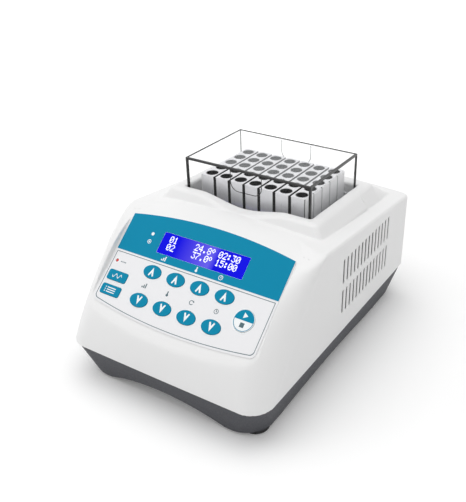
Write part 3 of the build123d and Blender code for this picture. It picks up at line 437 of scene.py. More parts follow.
def grain_group():
    """Fine height and a broad drift of tone, both from the surface's own place."""
    inputs = [("Density", "Vector", (800, 800, 800)), ("Drift", "Float", 12.0)]
    group, given, result = shader_group("surface_grain", inputs, ["Height", "Tone"])
    place = group.nodes.new("ShaderNodeTexCoord")
    scaled = group.nodes.new("ShaderNodeVectorMath")
    scaled.operation = "MULTIPLY"
    group.links.new(place.outputs["Object"], scaled.inputs[0])
    group.links.new(given.outputs["Density"], scaled.inputs[1])
    fine = group.nodes.new("ShaderNodeTexNoise")
    fine.inputs["Scale"].default_value = 1.0
    fine.inputs["Detail"].default_value = 4.0
    group.links.new(scaled.outputs[0], fine.inputs["Vector"])
    broad = group.nodes.new("ShaderNodeTexNoise")
    broad.inputs["Detail"].default_value = 2.0
    group.links.new(place.outputs["Object"], broad.inputs["Vector"])
    group.links.new(given.outputs["Drift"], broad.inputs["Scale"])
    group.links.new(fine.outputs["Fac"], result.inputs["Height"])
    group.links.new(broad.outputs["Fac"], result.inputs["Tone"])
    return group


def cavity_shade_group():
    """Mask of painted shade in the block's bores, slots and end grooves, 1 inside them."""
    group, given, result = shader_group(
        "block_cavity_shade",
        [("Column pitch", "Float", column_pitch * MM), ("Row pitch", "Float", row_pitch * MM),
         ("Bore", "Float", (well_radius + 0.15) * MM), ("Slot", "Float", (slot_width / 2 + 0.4) * MM),
         ("Groove", "Float", groove / 2 * MM)], ["Mask"])
    place = group.nodes.new("ShaderNodeTexCoord")
    split = group.nodes.new("ShaderNodeSeparateXYZ")
    group.links.new(place.outputs["Object"], split.inputs[0])
    offset_x = math_node(group, "PINGPONG", split.outputs["X"], None)
    half_pitch = math_node(group, "MULTIPLY", given.outputs["Column pitch"], 0.5)
    group.links.new(half_pitch, offset_x.node.inputs[1])
    from_middle = math_node(group, "SUBTRACT", split.outputs["Y"], block_y * MM)
    offset_y = math_node(group, "PINGPONG", from_middle, None)
    half_row = math_node(group, "MULTIPLY", given.outputs["Row pitch"], 0.5)
    group.links.new(half_row, offset_y.node.inputs[1])
    square = math_node(group, "ADD", math_node(group, "MULTIPLY", offset_x, offset_x),
                       math_node(group, "MULTIPLY", offset_y, offset_y))
    in_bore = math_node(group, "LESS_THAN", math_node(group, "SQRT", square), given.outputs["Bore"])
    to_slot = math_node(group, "SUBTRACT", half_pitch, offset_x)
    in_slot = math_node(group, "LESS_THAN", to_slot, given.outputs["Slot"])
    to_groove = math_node(group, "SUBTRACT", half_row, offset_y)
    from_centre = math_node(group, "ABSOLUTE", split.outputs["X"])
    beside = math_node(group, "GREATER_THAN", from_centre, (block_half_x - 0.3) * MM)
    near_groove = math_node(group, "LESS_THAN", to_groove, given.outputs["Groove"])
    in_groove = math_node(group, "MULTIPLY", near_groove, beside)
    inside = math_node(group, "MAXIMUM", math_node(group, "MAXIMUM", in_bore, in_slot), in_groove)
    below = math_node(group, "LESS_THAN", split.outputs["Z"], (block_top - 0.3) * MM)
    group.links.new(math_node(group, "MULTIPLY", inside, below), result.inputs["Mask"])
    return group


def finish(name, base, rough, metal=0.0, density=(800, 800, 800), bump=0.12, drift=0.03, spread=0.1, coat=0.0,
           mirror=0.5):
    """A material with fine relief, a drift of tone and uneven gloss."""
    made = bpy.data.materials.new(name)
    made.use_nodes = True
    tree = made.node_tree
    shader = tree.nodes["Principled BSDF"]
    shader.inputs["Metallic"].default_value = metal
    shader.inputs["Coat Weight"].default_value = coat
    shader.inputs["Specular IOR Level"].default_value = mirror
    grain = tree.nodes.new("ShaderNodeGroup")
    grain.name = "grain"
    grain.node_tree = surface_grain
    grain.inputs["Density"].default_value = density
    blend = tree.nodes.new("ShaderNodeMix")
    blend.name = "tone"
    blend.data_type = "RGBA"
    blend.inputs[6].default_value = [c * (1 - drift) for c in base[:3]] + [1.0]
    blend.inputs[7].default_value = [min(1.0, c * (1 + drift)) for c in base[:3]] + [1.0]
    tree.links.new(grain.outputs["Tone"], blend.inputs[0])
    tree.links.new(blend.outputs[2], shader.inputs["Base Color"])
    gloss = tree.nodes.new("ShaderNodeMapRange")
    gloss.inputs["From Min"].default_value = 0.3
    gloss.inputs["From Max"].default_value = 0.7
    gloss.inputs["To Min"].default_value = max(0.02, rough - spread)
    gloss.inputs["To Max"].default_value = min(1.0, rough + spread)
    tree.links.new(grain.outputs["Height"], gloss.inputs["Value"])
    tree.links.new(gloss.outputs["Result"], shader.inputs["Roughness"])
    relief = tree.nodes.new("ShaderNodeBump")
    relief.inputs["Strength"].default_value = bump
    relief.inputs["Distance"].default_value = 0.0002
    tree.links.new(grain.outputs["Height"], relief.inputs["Height"])
    tree.links.new(relief.outputs["Normal"], shader.inputs["Normal"])
    return made


def block_finish():
    """Bead-blasted aluminium with near-black painted shade in its bores, slots and end grooves."""
    made = finish("blasted_aluminium", colour(232, 232, 235), 0.42, metal=0.55, density=(1800, 1800, 70),
                  bump=0.45, drift=0.06, spread=0.16)
    tree = made.node_tree
    cavity_shade = tree.nodes.new("ShaderNodeGroup")
    cavity_shade.node_tree = cavity_shade_group()
    painted_shade = tree.nodes.new("ShaderNodeMix")
    painted_shade.data_type = "RGBA"
    # Near-black painted shade where the bores, slots and end grooves lie in shadow.
    painted_shade.inputs[7].default_value = colour(26, 26, 28)
    tree.links.new(cavity_shade.outputs["Mask"], painted_shade.inputs[0])
    tree.links.new(tree.nodes["tone"].outputs[2], painted_shade.inputs[6])
    tree.links.new(painted_shade.outputs[2], tree.nodes["Principled BSDF"].inputs["Base Color"])
    return made


def shell_finish():
    """Semi-gloss white moulding with near-black painted shade on the inner side-wall faces where the vent
    slots open.
    """
    made = finish("white_moulding", colour(236, 236, 236), 0.42, bump=0.05, drift=0.012, spread=0.08)
    tree = made.node_tree
    place = tree.nodes.new("ShaderNodeTexCoord")
    split = tree.nodes.new("ShaderNodeSeparateXYZ")
    tree.links.new(place.outputs["Object"], split.inputs[0])
    beside = math_node(tree, "ABSOLUTE", split.outputs["X"])
    deep = math_node(tree, "LESS_THAN", beside, (half - 0.9) * MM)
    outer = math_node(tree, "GREATER_THAN", beside, (half - cut_reach) * MM)
    low = math_node(tree, "LESS_THAN", split.outputs["Z"], (vent_rows[1][1] + 3) * MM)
    along = math_node(tree, "GREATER_THAN", split.outputs["Y"], (vent_first_y - 6) * MM)
    in_wall = math_node(tree, "MULTIPLY", deep, outer)
    in_rows = math_node(tree, "MULTIPLY", low, along)
    vent_shade = math_node(tree, "MULTIPLY", in_wall, in_rows)
    before_rear = math_node(tree, "LESS_THAN", split.outputs["Y"], (rear_y - 12) * MM)
    vent_shade = math_node(tree, "MULTIPLY", vent_shade, before_rear)
    painted_shade = tree.nodes.new("ShaderNodeMix")
    painted_shade.data_type = "RGBA"
    # Near-black painted shade on the inner faces round the side vents.
    painted_shade.inputs[7].default_value = colour(30, 30, 31)
    tree.links.new(vent_shade, painted_shade.inputs[0])
    tree.links.new(tree.nodes["tone"].outputs[2], painted_shade.inputs[6])
    tree.links.new(painted_shade.outputs[2], tree.nodes["Principled BSDF"].inputs["Base Color"])
    return made


def screen_finish():
    """Lit display: deep blue with a paler violet patch in its middle."""
    made = finish("lit_display", colour(4, 4, 40), 0.25, density=(3000, 3000, 3000), bump=0.02, mirror=0.05)
    tree = made.node_tree
    place = tree.nodes.new("ShaderNodeTexCoord")
    split = tree.nodes.new("ShaderNodeSeparateXYZ")
    tree.links.new(place.outputs["Object"], split.inputs[0])
    along = tree.nodes.new("ShaderNodeMapRange")
    along.inputs["From Min"].default_value = (display_x - display_half_x) * MM
    along.inputs["From Max"].default_value = (display_x + display_half_x) * MM
    tree.links.new(split.outputs["X"], along.inputs["Value"])
    ramp = tree.nodes.new("ShaderNodeValToRGB")
    stops = [(0.0, (0, 0, 238)), (0.2, (4, 2, 236)), (0.42, (84, 74, 240)), (0.6, (108, 100, 244)),
             (0.66, (60, 50, 240)), (0.67, (2, 0, 232)), (1.0, (0, 0, 240))]
    ramp.color_ramp.elements[1].position = 1.0
    while len(ramp.color_ramp.elements) < len(stops):
        ramp.color_ramp.elements.new(0.5)
    for element, (position, tint) in zip(ramp.color_ramp.elements, stops):
        element.position = position
        element.color = colour(*tint)
    tree.links.new(along.outputs["Result"], ramp.inputs[0])
    shader = tree.nodes["Principled BSDF"]
    tree.links.new(ramp.outputs[0], shader.inputs["Emission Color"])
    shader.inputs["Emission Strength"].default_value = 0.9
    return made


def clear_finish(name, tint, base_opacity):
    """Clear acrylic: mostly see-through, with more reflection at a flat angle."""
    made = finish(name, tint, 0.06, density=(300, 300, 300), bump=0.01, drift=0.01, spread=0.03)
    tree = made.node_tree
    angle = tree.nodes.new("ShaderNodeLayerWeight")
    angle.inputs["Blend"].default_value = 0.5
    steep = math_node(tree, "POWER", angle.outputs["Facing"], 5.0)
    opacity = math_node(tree, "ADD", math_node(tree, "MULTIPLY", steep, 0.5), base_opacity, clamp=True)
    tree.links.new(opacity, tree.nodes["Principled BSDF"].inputs["Alpha"])
    return made


surface_grain = grain_group()
teal = colour(5, 136, 172)
print_white = colour(244, 247, 248)
print_dark = colour(70, 98, 106)
ink_grain = (2500, 2500, 2500)
finishes = {
    "white_shell": shell_finish(),
    "dark_tray": finish("dark_moulding", colour(74, 75, 80), 0.55, bump=0.3, drift=0.05, mirror=0.25),
    "foot_rubber": finish("foot_rubber", colour(30, 30, 31), 0.8, bump=0.3, drift=0.1),
    "screw_steel": finish("zinc_plate", colour(170, 172, 176), 0.35, metal=1.0, density=(400, 400, 400)),
    "liner_black": finish("liner_moulding", colour(208, 209, 211), 0.5, bump=0.15, drift=0.03, mirror=0.3),
    "overlay_film": finish(
        "overlay_film", colour(236, 236, 238), 0.5, density=ink_grain, bump=0.08, drift=0.01),
    "display_window": screen_finish(),
    "lamp_lens": finish("lamp_lens", colour(205, 30, 35), 0.2, bump=0.02, coat=0.6),
    "circuit_board": finish("circuit_lacquer", colour(28, 92, 52), 0.4, bump=0.1, drift=0.12),
    "switch_plastic": finish("switch_moulding", colour(34, 34, 35), 0.5),
    "ground_steel": finish("ground_steel", colour(190, 191, 194), 0.25, metal=1.0, density=(300, 4000, 4000)),
    "cast_parts": finish("milled_casting", colour(176, 177, 180), 0.4, metal=0.9, density=(500, 500, 2500)),
    "bronze": finish("bronze", colour(176, 132, 74), 0.35, metal=1.0, density=(900, 900, 3000)),
    "motor_case": finish("motor_paint", colour(40, 41, 43), 0.45, bump=0.2),
    "iron_core": finish("core_lacquer", colour(66, 60, 54), 0.5, density=(100, 100, 5000), bump=0.4),
    "capacitor_sleeve": finish("capacitor_sleeve", colour(30, 34, 66), 0.3, bump=0.05),
    "machined_aluminium": finish(
        "machined_aluminium", colour(200, 201, 204), 0.32, metal=1.0, density=(200, 3000, 3000)),
    "black_plastic": finish("black_moulding", colour(34, 34, 36), 0.48, bump=0.25),
    "plated_pins": finish("nickel_plate", colour(196, 190, 170), 0.25, metal=1.0),
    "rocker_plastic": finish("rocker_moulding", colour(26, 26, 28), 0.3, bump=0.08),
    "pad_foam": finish(
        "silicone_sponge", colour(176, 84, 62), 0.85, density=(500, 500, 500), bump=0.8, drift=0.1),
    "block_aluminium": block_finish(),
    "clear_acrylic": clear_finish("clear_acrylic", colour(250, 252, 253), 0.015),
    "key_print": finish("teal_print", teal, 0.45, density=ink_grain, bump=0.08, drift=0.02, mirror=0.08),
    "start_stop_print": finish("white_print", print_white, 0.45, density=ink_grain, bump=0.08, drift=0.01),
}
finishes["display_screen"] = finishes["display_window"]
digit_light = finish("digit_light", colour(226, 228, 255), 0.4, bump=0.02)
digit_light.node_tree.nodes["Principled BSDF"].inputs["Emission Color"].default_value = colour(226, 228, 255)
digit_light.node_tree.nodes["Principled BSDF"].inputs["Emission Strength"].default_value = 0.6
dark_print = finish("dark_print", print_dark, 0.5, density=ink_grain, bump=0.05, drift=0.03)
# The cover's top gets a faint painted pale sheen that stands in for reflection; its edges and recess outline
# get painted shade for the dark look of edge-on acrylic, lighter on the far edge.
lid_top_sheen = clear_finish("acrylic_top_sheen", colour(235, 238, 240), 0.075)
lid_edge_shade = clear_finish("acrylic_edge_shade", colour(18, 19, 20), 0.95)
lid_far_edge_shade = clear_finish("acrylic_far_edge_shade", colour(50, 52, 54), 0.7)
rib_metal = finish("brushed_rib", colour(238, 238, 240), 0.5, metal=0.15, density=(1800, 1800, 70),
                   bump=0.35, drift=0.06)
rim_metal = finish("turned_rim", colour(222, 222, 225), 0.3, metal=0.9, density=(900, 900, 900))

slot_of = {part["node"]: part["material_slot"] for part in frame["record"]["subparts"]}
for node, piece in frame["nodes"].items():
    piece.data.materials.clear()
    piece.data.materials.append(finishes[slot_of[node]])


# Housing
housing_low = (-102, -142, 31)
housing_high = (102, 142, 139)
housing_step = 1.0
housing_share = 0.16
housing = moulded("moulded_housing", housing_field, housing_low, housing_high, housing_step, housing_share,
                  finishes["white_shell"])
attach(housing, "housing")
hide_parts("upper_housing")


# Prints on the keypad
panel_frame = Matrix((
    (1, 0, 0, 0),
    (0, cos(panel_angle), -sin(panel_angle), panel_y),
    (0, sin(panel_angle), cos(panel_angle), panel_z),
    (0, 0, 0, 1),
))


def sheet_mesh(loops, thickness):
    """Vertices and faces of a flat sheet; a loop inside another is a hole."""
    outline = bpy.data.curves.new("outline", "CURVE")
    outline.dimensions = "2D"
    outline.fill_mode = "BOTH"
    outline.extrude = thickness / 2
    for loop in loops:
        spline = outline.splines.new("POLY")
        spline.points.add(len(loop) - 1)
        spline.use_cyclic_u = True
        for point, (x, v) in zip(spline.points, loop):
            point.co = (x, -v, 0, 1)
    holder = bpy.data.objects.new("outline", outline)
    bpy.context.scene.collection.objects.link(holder)
    mesh = bpy.data.meshes.new_from_object(holder.evaluated_get(bpy.context.evaluated_depsgraph_get()))
    vertices = [tuple(vertex.co) for vertex in mesh.vertices]
    faces = [tuple(face.vertices) for face in mesh.polygons]
    bpy.data.objects.remove(holder)
    bpy.data.curves.remove(outline)
    bpy.data.meshes.remove(mesh)
    return vertices, faces


def printed(name, loops, lift, material, body="housing", thickness=0.06):
    """A print of ink on the keypad, at a height above the overlay's face."""
    vertices, faces = sheet_mesh(loops, thickness)
    placed = [panel_frame @ Vector((x, y, z + lift)) for x, y, z in vertices]
    piece = mesh_object(name, [tuple(p) for p in placed], faces, material, smooth=False)
    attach(piece, body)
    return piece


def ellipse(x, v, half_x, half_v, count=48):
    """Points round an ellipse."""
    angles = [2 * pi * k / count for k in range(count)]
    return [(x + half_x * cos(a), v + half_v * sin(a)) for a in angles]


def rounded(x, v, half_x, half_v, radius, count=6):
    """Points round a rectangle with round corners."""
    points = []
    for quarter, (sx, sv) in enumerate(((1, 1), (-1, 1), (-1, -1), (1, -1))):
        for k in range(count + 1):
            angle = pi / 2 * (quarter + k / count)
            centre_x = x + sx * (half_x - radius)
            centre_v = v + sv * (half_v - radius)
            points.append((centre_x + radius * cos(angle), centre_v + radius * sin(angle)))
    return points


def bowed(left, right, v, bow, count=40):
    """Points from left to right along a flat arc that bulges by bow towards +v."""
    points = []
    for k in range(count + 1):
        share = 2 * k / count - 1
        points.append((left + (right - left) * k / count, v + bow * (1 - share ** 2)))
    return points


overlay_low = panel_height - 2.5
edge = panel_half - 0.15
top_arc = bowed(-edge, edge, 0.15, -panel_arch)
teal_low = 34.35
window = rounded(display_x, display_v, display_half_x + 0.1, display_half_v + 0.1, 0.4, 2)
band = top_arc + [(edge, teal_low), (-edge, teal_low)]
ink_lift = 0.05
printed("teal_band", [band, window], ink_lift, finishes["key_print"])


def border_loop(inset):
    """The frame round the pale area: straight on top and at the sides, arched along the bottom."""
    side = panel_half - 1.6 - inset
    low = overlay_low - 1.0 - inset
    top = 36.1 + inset
    corner = 4.0
    points = [(-side, top), (side, top)]
    points += [(side - corner + corner * cos(a), low - corner + corner * sin(a))
               for a in (pi / 2 * k / 6 for k in range(7))]
    points += [(x, v) for x, v in bowed(side - corner, corner - side, low, 6.0)][1:-1]
    points += [(corner - side - corner * sin(a), low - corner + corner * cos(a))
               for a in (pi / 2 * k / 6 for k in range(7))]
    return points


printed("frame_line", [border_loop(0), border_loop(0.5)], ink_lift, dark_print)


def arrow_icon(x, v, way):
    """A forked arrowhead that points up (way 1) or down (way -1)."""
    shape = ((0, -3.9), (2.75, 3.3), (1.5, 3.9), (0, 0.8), (-1.5, 3.9), (-2.75, 3.3))
    return [(x + dx, v + way * dv) for dx, dv in shape]


def ring(x, v, outer, inner):
    """Two loops of a ring."""
    return [ellipse(x, v, outer, outer, 32), ellipse(x, v, inner, inner, 32)]


def bar(x, v, half_x, half_v):
    """A small printed bar."""
    corners = ((-1, -1), (1, -1), (1, 1), (-1, 1))
    return [(x + sx * half_x, v + sv * half_v) for sx, sv in corners]


def step_icon(x, v):
    """Three rising bars: the program's step."""
    return [bar(x + 1.7 * k, v + 1.9 - 0.7 * (k + 2), 0.5, 0.7 * (k + 2)) for k in (-1, 0, 1)]


def heat_icon(x, v):
    """A thermometer: a bulb under a stem."""
    bulb = 1.15
    neck = 0.5
    start = asin(neck / bulb)
    turn = 2 * pi - 2 * start
    angles = [start + turn * k / 20 for k in range(21)]
    points = [(x + bulb * sin(a), v + 1.0 - bulb * cos(a)) for a in angles]
    return [points + [(x - neck, v - 2.3), (x + neck, v - 2.3)]]


def turn_icon(x, v):
    """An open ring with an arrowhead: the shaking speed."""
    arc = [(pi * 0.15 + 1.6 * pi * k / 24) for k in range(25)]
    outer = [(x + 2.0 * cos(a), v + 2.0 * sin(a)) for a in arc]
    inner = [(x + 1.45 * cos(a), v + 1.45 * sin(a)) for a in reversed(arc)]
    head_x = x + 1.72 * cos(arc[-1])
    head_v = v + 1.72 * sin(arc[-1])
    head = [(head_x + 0.1, head_v - 1.1), (head_x + 1.4, head_v + 0.5), (head_x + 0.15, head_v + 0.8)]
    return [outer + inner, head]


def clock_icon(x, v):
    """A dial with two hands: the time."""
    shape = ((-0.25, -1.3), (0.25, -1.3), (0.25, -0.1), (1.1, -0.1), (1.1, 0.35), (-0.25, 0.35))
    hands = [(x + dx, v + dv) for dx, dv in shape]
    return ring(x, v, 2.1, 1.65) + [hands]


# Marks where such a keypad has words
column_mark_v = 57.6
display_mark_v = 30.9
side_mark_x = -53.5
side_mark_v = (13.2, 20.4)
column_marks = []
for x0, icon in zip(arrow_x, (step_icon, heat_icon, turn_icon, clock_icon)):
    column_marks += icon(x0 - 1.5, column_mark_v)
column_marks += [bar(lamp_place[0] + 4.8 + 1.5 * k, lamp_place[1], 0.45, 0.45) for k in range(4)]
printed("column_marks", column_marks, ink_lift, dark_print)
display_marks = step_icon(-32.0, display_mark_v) + heat_icon(2.0, display_mark_v)
display_marks += clock_icon(26.0, display_mark_v)
display_marks += [ellipse(side_mark_x, side_mark_v[0], 1.5, 1.5, 24)]
display_marks += ring(side_mark_x, side_mark_v[1], 1.9, 1.35)
display_marks += [ellipse(side_mark_x, side_mark_v[1], 0.7, 0.7, 16)]
printed("display_marks", display_marks, 2 * ink_lift, finishes["start_stop_print"])

rim_width = 0.8
rims = []
for x0 in arrow_x:
    for v0 in arrow_v.values():
        rims += [ellipse(x0, v0, *[size + 0.85 for size in arrow_half]), ellipse(x0, v0, *arrow_half)]
for v0 in bar_v.values():
    rims += [rounded(bar_x, v0, *[size + rim_width for size in bar_half], 2.6)]
    rims += [rounded(bar_x, v0, *bar_half, 2.0)]
rims += [ellipse(*round_place, round_radius + rim_width, round_radius + rim_width)]
rims += [ellipse(*round_place, round_radius, round_radius)]
rims += [ellipse(*lamp_place, 2.6, 2.6, 24), ellipse(*lamp_place, 1.6, 1.6, 24)]
printed("key_rims", rims, ink_lift, finishes["start_stop_print"])

key_top = 0.75
icon_lift = key_top + 0.03
icon_ink = finishes["start_stop_print"]
for k, x0 in enumerate(arrow_x):
    for way, v0 in arrow_v.items():
        icon = arrow_icon(x0, v0, 1 if way == "up" else -1)
        name = "arrow_%s_%d" % (way, k + 1)
        printed(name + "_icon", [icon], icon_lift, icon_ink, name + "_button")
wave = [(bar_x - 5 + k * 0.5, bar_v["mix_key"] + 1.6 * sin(k * pi / 5) - 0.45) for k in range(21)]
wave += [(bar_x - 5 + k * 0.5, bar_v["mix_key"] + 1.6 * sin(k * pi / 5) + 0.45) for k in reversed(range(21))]
printed("mix_icon", [wave], icon_lift, icon_ink, "mix_button")
lines = [bar(bar_x + 0.8, bar_v["program_key"] + 1.9 * k, 4.4, 0.4) for k in (-1, 0, 1)]
lines += [bar(bar_x - 5.4, bar_v["program_key"] + 1.9 * k, 0.5, 0.4) for k in (-1, 0, 1)]
printed("program_icon", lines, icon_lift, icon_ink, "program_button")
round_x, round_v = round_place
disc = round_radius - 0.65
upper = [(round_x + disc * cos(a), round_v + disc * sin(a)) for a in (pi + pi * k / 30 for k in range(31))]
outline = ring(round_x, round_v, disc, disc - 0.45)
play = [(round_x - 1.6, round_v - 6.4), (round_x + 2.4, round_v - 4.0), (round_x - 1.6, round_v - 1.6)]
printed("start_half", [upper, play], icon_lift, finishes["key_print"], "start_stop_button")
printed("stop_outline", outline, key_top + 0.06, finishes["key_print"], "start_stop_button")
stop = bar(round_x, round_v + 3.8, 1.9, 1.9)
printed("stop_mark", [stop], icon_lift, dark_print, "start_stop_button")

# Digits of the display, each on five by seven dots
dot_rows = {
    "0": "01110 10001 10011 10101 11001 10001 01110",
    "1": "00100 01100 00100 00100 00100 00100 01110",
    "2": "01110 10001 00001 00010 00100 01000 11111",
    "3": "11111 00010 00100 00010 00001 10001 01110",
    "4": "00010 00110 01010 10010 11111 00010 00010",
    "5": "11111 10000 11110 00001 00001 10001 01110",
    "7": "11111 00001 00010 00100 01000 01000 01000",
    "8": "01110 10001 10001 01110 10001 10001 01110",
    ".": "00000 00000 00000 00000 00000 01100 01100",
    ":": "00000 01100 01100 00000 01100 01100 00000",
    "*": "01100 10010 10010 01100 00000 00000 00000",
}
readings = (("01", -34.8, 13.1), ("24.8*", -8.6, 13.1), ("02:30", 15.4, 13.1),
            ("02", -34.8, 20.1), ("37.0*", -8.6, 20.1), ("15:00", 15.4, 20.1))
dot_x = 0.74
dot_v = 0.84
digit_pitch = 4.2
dots = []
for text, left, middle in readings:
    for place, sign in enumerate(text):
        for row, pattern in enumerate(dot_rows[sign].split()):
            for column, lit in enumerate(pattern):
                if lit == "1":
                    x0 = left + place * digit_pitch + (column + 0.5) * dot_x
                    dots.append(bar(x0, middle + (row - 3) * dot_v, dot_x * 0.5, dot_v * 0.49))
printed("display_digits", dots, 0.03, digit_light)


def add_box(vertices, faces, indices, low, high, index):
    """A closed box between two corners, with its material's index."""
    base = len(vertices)
    for z in (low[2], high[2]):
        for x, y in ((low[0], low[1]), (high[0], low[1]), (high[0], high[1]), (low[0], high[1])):
            vertices.append((x, y, z))
    for face in ((0, 3, 2, 1), (4, 5, 6, 7), (0, 1, 5, 4), (1, 2, 6, 5), (2, 3, 7, 6), (3, 0, 4, 7)):
        faces.append(tuple(base + k for k in face))
        indices.append(index)


# Tube block trims
def turned_rings(places, inner, outer, height, material, name):
    """Small raised rings round the wells, with a sloping inner flank."""
    count = 32
    vertices = []
    faces = []
    for x, y in places:
        base = len(vertices)
        section = ((inner, -0.3), (inner, 0.0), (inner + 0.35, height), (outer, height), (outer, -0.3))
        for radius, z in section:
            for k in range(count):
                angle = 2 * pi * k / count
                vertices.append((x + radius * cos(angle), y + radius * sin(angle), block_top + z))
        for level in range(5):
            for k in range(count):
                a = base + level * count + k
                b = base + level * count + (k + 1) % count
                c = base + (level + 1) % 5 * count + (k + 1) % count
                d = base + (level + 1) % 5 * count + k
                faces.append((d, c, b, a))
    return mesh_object(name, vertices, faces, material, smooth=False)


well_places = [((i - columns // 2) * column_pitch, block_y + (j - rows // 2) * row_pitch)
               for i in range(columns) for j in range(rows)]
well_rims = turned_rings(well_places, well_radius + 0.02, well_radius + 0.75, 0.06, rim_metal, "well_rims")
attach(well_rims, "shaker")


def side_ribs():
    """Flat ribs down both ends of the block, one beside each row, with grooves between them that the block's
    finish fills with painted shade.
    """
    vertices = []
    faces = []
    indices = []
    for side in (-1, 1):
        for j in range(rows):
            y = block_y + (j - rows // 2) * row_pitch
            low_y = max(y - row_pitch / 2 + groove / 2, block_y - block_half_y + 0.4)
            high_y = min(y + row_pitch / 2 - groove / 2, block_y + block_half_y - 0.4)
            near_x, far_x = sorted((side * (block_half_x + 0.02), side * (block_half_x + 0.9)))
            add_box(vertices, faces, indices, (near_x, low_y, rib_low), (far_x, high_y, block_top - 0.4), 0)
    return mesh_object("side_ribs", vertices, faces, rib_metal, smooth=False)


ribs = side_ribs()
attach(ribs, "shaker")


# Clear cover
def add_tube(vertices, faces, indices, path, radius, index):
    """A thin line of round section that lies in an XZ plane."""
    sides = 6
    base = len(vertices)
    for k, (x, y, z) in enumerate(path):
        before = path[max(k - 1, 0)]
        after = path[min(k + 1, len(path) - 1)]
        run = Vector((after[0] - before[0], 0, after[2] - before[2])).normalized()
        across = Vector((run.z, 0, -run.x))
        for side in range(sides):
            angle = 2 * pi * side / sides
            offset = across * cos(angle) * radius
            vertices.append((x + offset.x, y + sin(angle) * radius, z + offset.z))
    for k in range(len(path) - 1):
        for side in range(sides):
            a = base + k * sides + side
            b = base + k * sides + (side + 1) % sides
            faces.append((a, b, b + sides, a + sides))
            indices.append(index)
    faces.append(tuple(range(base, base + sides)))
    faces.append(tuple(reversed(range(len(vertices) - sides, len(vertices)))))
    indices += [index, index]


def clear_cover():
    """Thin clear walls whose edges carry painted shade for the dark look of acrylic seen edge-on, a top with
    a painted pale sheen of reflection, and a painted dark line for the outline of a finger recess in front
    and behind.
    """
    vertices = []
    faces = []
    indices = []
    hx, hy = cover_half_x, cover_half_y
    front, rear = lid_y - hy, lid_y + hy
    wide, thin = 1.9, 0.9
    # Finish indices: clear wall, top with painted sheen, edges and recess outline with painted shade, far
    # edge with lighter painted shade.
    clear, top, edge_shade, far_edge_shade = 0, 1, 2, 3
    w = cover_wall
    walls = (
        ((wide - hx, front, cover_low), (hx - wide, front + w, cover_top - wide), clear),
        ((thin - hx, rear - w, cover_low), (hx - thin, rear, cover_top - thin), clear),
        ((-hx, front + w, cover_low), (w - hx, rear - w, cover_top - wide), clear),
        ((hx - w, front + w, cover_low), (hx, rear - w, cover_top - wide), clear),
        ((wide - hx, front + wide, cover_top - w), (hx - wide, rear - thin, cover_top), top),
    )
    edges = (
        ((-hx, front, cover_low), (wide - hx, front + wide, cover_top), edge_shade),
        ((hx - wide, front, cover_low), (hx, front + wide, cover_top), edge_shade),
        ((-hx, rear - thin, cover_low), (thin - hx, rear, cover_top), far_edge_shade),
        ((hx - wide, rear - thin, cover_low), (hx, rear, cover_top), edge_shade),
        ((wide - hx, front, cover_top - wide), (hx - wide, front + wide, cover_top), edge_shade),
        ((thin - hx, rear - thin, cover_top - thin), (hx - wide, rear, cover_top), edge_shade),
        ((-hx, front + wide, cover_top - thin), (thin - hx, rear - thin, cover_top), edge_shade),
        ((hx - wide, front + wide, cover_top - wide), (hx, rear - thin, cover_top), edge_shade),
    )
    for low, high, index in walls + edges:
        add_box(vertices, faces, indices, low, high, index)
    grip_top = cover_top - cover_wall
    for y, radius, index in ((front + 0.4, 0.36, edge_shade), (rear - 0.35, 0.33, far_edge_shade)):
        path = [(-grip_half, y, grip_top), (-grip_half, y, grip_top - grip_depth + grip_corner)]
        for k in range(1, 9):
            angle = pi / 2 * k / 8
            path.append((-grip_half + grip_corner * (1 - cos(angle)), y,
                         grip_top - grip_depth + grip_corner * (1 - sin(angle))))
        path += [(-x, py, z) for x, py, z in reversed(path)]
        add_tube(vertices, faces, indices, path, radius, index)
    piece = mesh_object("clear_cover", vertices, faces, finishes["clear_acrylic"], smooth=False)
    for material in (lid_top_sheen, lid_edge_shade, lid_far_edge_shade):
        piece.data.materials.append(material)
    piece.data.polygons.foreach_set("material_index", indices)
    return piece


cover = clear_cover()
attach(cover, "lid")
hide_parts("clear_lid")


# Floor, light and camera
def floor_finish():
    """Near-white floor that brightens for the camera and its reflections only."""
    made = finish("pale_floor", colour(250, 250, 250), 0.7, density=(60, 60, 60), bump=0.02, drift=0.004)
    tree = made.node_tree
    path = tree.nodes.new("ShaderNodeLightPath")
    seen = math_node(tree, "MAXIMUM", path.outputs["Is Camera Ray"], path.outputs["Is Glossy Ray"])
    seen = math_node(tree, "MAXIMUM", seen, path.outputs["Is Transmission Ray"])
    place = tree.nodes.new("ShaderNodeTexCoord")
    distance = tree.nodes.new("ShaderNodeVectorMath")
    distance.operation = "LENGTH"
    tree.links.new(place.outputs["Object"], distance.inputs[0])
    far = tree.nodes.new("ShaderNodeMapRange")
    far.interpolation_type = "SMOOTHSTEP"
    far.inputs["From Min"].default_value = 0.26
    far.inputs["From Max"].default_value = 0.9
    far.inputs["To Min"].default_value = floor_lift
    far.inputs["To Max"].default_value = 0.8
    tree.links.new(distance.outputs["Value"], far.inputs["Value"])
    glow = math_node(tree, "MULTIPLY", seen, far.outputs["Result"])
    shader = tree.nodes["Principled BSDF"]
    shader.inputs["Emission Color"].default_value = (1, 1, 1, 1)
    shader.inputs["Specular IOR Level"].default_value = 0.0
    tree.links.new(glow, shader.inputs["Emission Strength"])
    return made


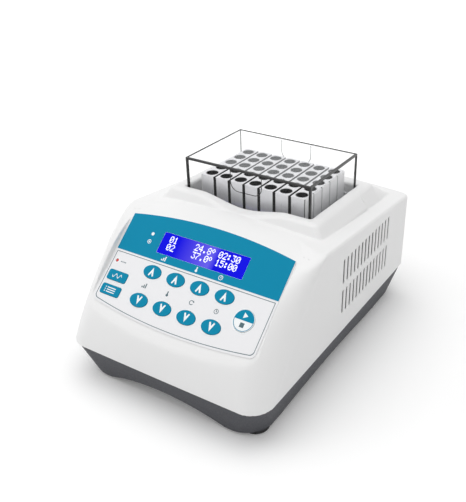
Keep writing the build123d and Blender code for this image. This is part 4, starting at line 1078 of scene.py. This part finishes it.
floor_lift = 0.09
floor_half = 9000.0
floor_corners = [(sx * floor_half, sy * floor_half, 0) for sx, sy in ((-1, -1), (1, -1), (1, 1), (-1, 1))]
floor = mesh_object("floor", floor_corners, [(0, 1, 2, 3)], floor_finish())

ambient = 0.62
world = bpy.data.worlds.new("studio")
bpy.context.scene.world = world
world.use_nodes = True
sky = world.node_tree
background = sky.nodes["Background"]
background.inputs["Color"].default_value = (1, 1, 1, 1)
rays = sky.nodes.new("ShaderNodeLightPath")
seen = math_node(sky, "MAXIMUM", rays.outputs["Is Camera Ray"], rays.outputs["Is Transmission Ray"])
seen = math_node(sky, "MAXIMUM", seen, rays.outputs["Is Glossy Ray"])
extra = math_node(sky, "MULTIPLY", seen, 1 - ambient)
strength = math_node(sky, "ADD", extra, ambient)
sky.links.new(strength, background.inputs["Strength"])


def softbox(name, place, aim, size, power):
    """A square area lamp that faces a point."""
    light = bpy.data.lights.new(name, "AREA")
    light.energy = power
    light.size = size
    lamp = bpy.data.objects.new(name, light)
    lamp.location = Vector(place)
    lamp.rotation_euler = (Vector(aim) - Vector(place)).to_track_quat("-Z", "Y").to_euler()
    bpy.context.scene.collection.objects.link(lamp)


softbox("overhead", (-0.2, 0.0, 1.6), (0, 0, 0.1), 1.6, 12.5)
softbox("left_fill", (-1.3, -0.7, 0.9), (0, 0, 0.08), 1.0, 2.4)

forward = Vector(camera_forward).normalized()
level = forward.cross(Vector((0, 0, 1))).normalized()
rise = level.cross(forward)
tilt = asin(camera_roll_rise / rise.z)
right = level * cos(tilt) + rise * sin(tilt)
up = right.cross(forward)
view = bpy.data.cameras.new("camera")
view.sensor_width = 36.0
view.lens = lens
view.shift_x = shift_x
view.shift_y = shift_y
view.clip_end = 50
camera = bpy.data.objects.new("camera", view)
camera.matrix_world = Matrix((
    (right.x, up.x, -forward.x, camera_place[0] * MM),
    (right.y, up.y, -forward.y, camera_place[1] * MM),
    (right.z, up.z, -forward.z, camera_place[2] * MM),
    (0, 0, 0, 1),
))
bpy.context.scene.collection.objects.link(camera)
bpy.context.scene.camera = camera
bpy.context.scene.view_settings.view_transform = "Standard"
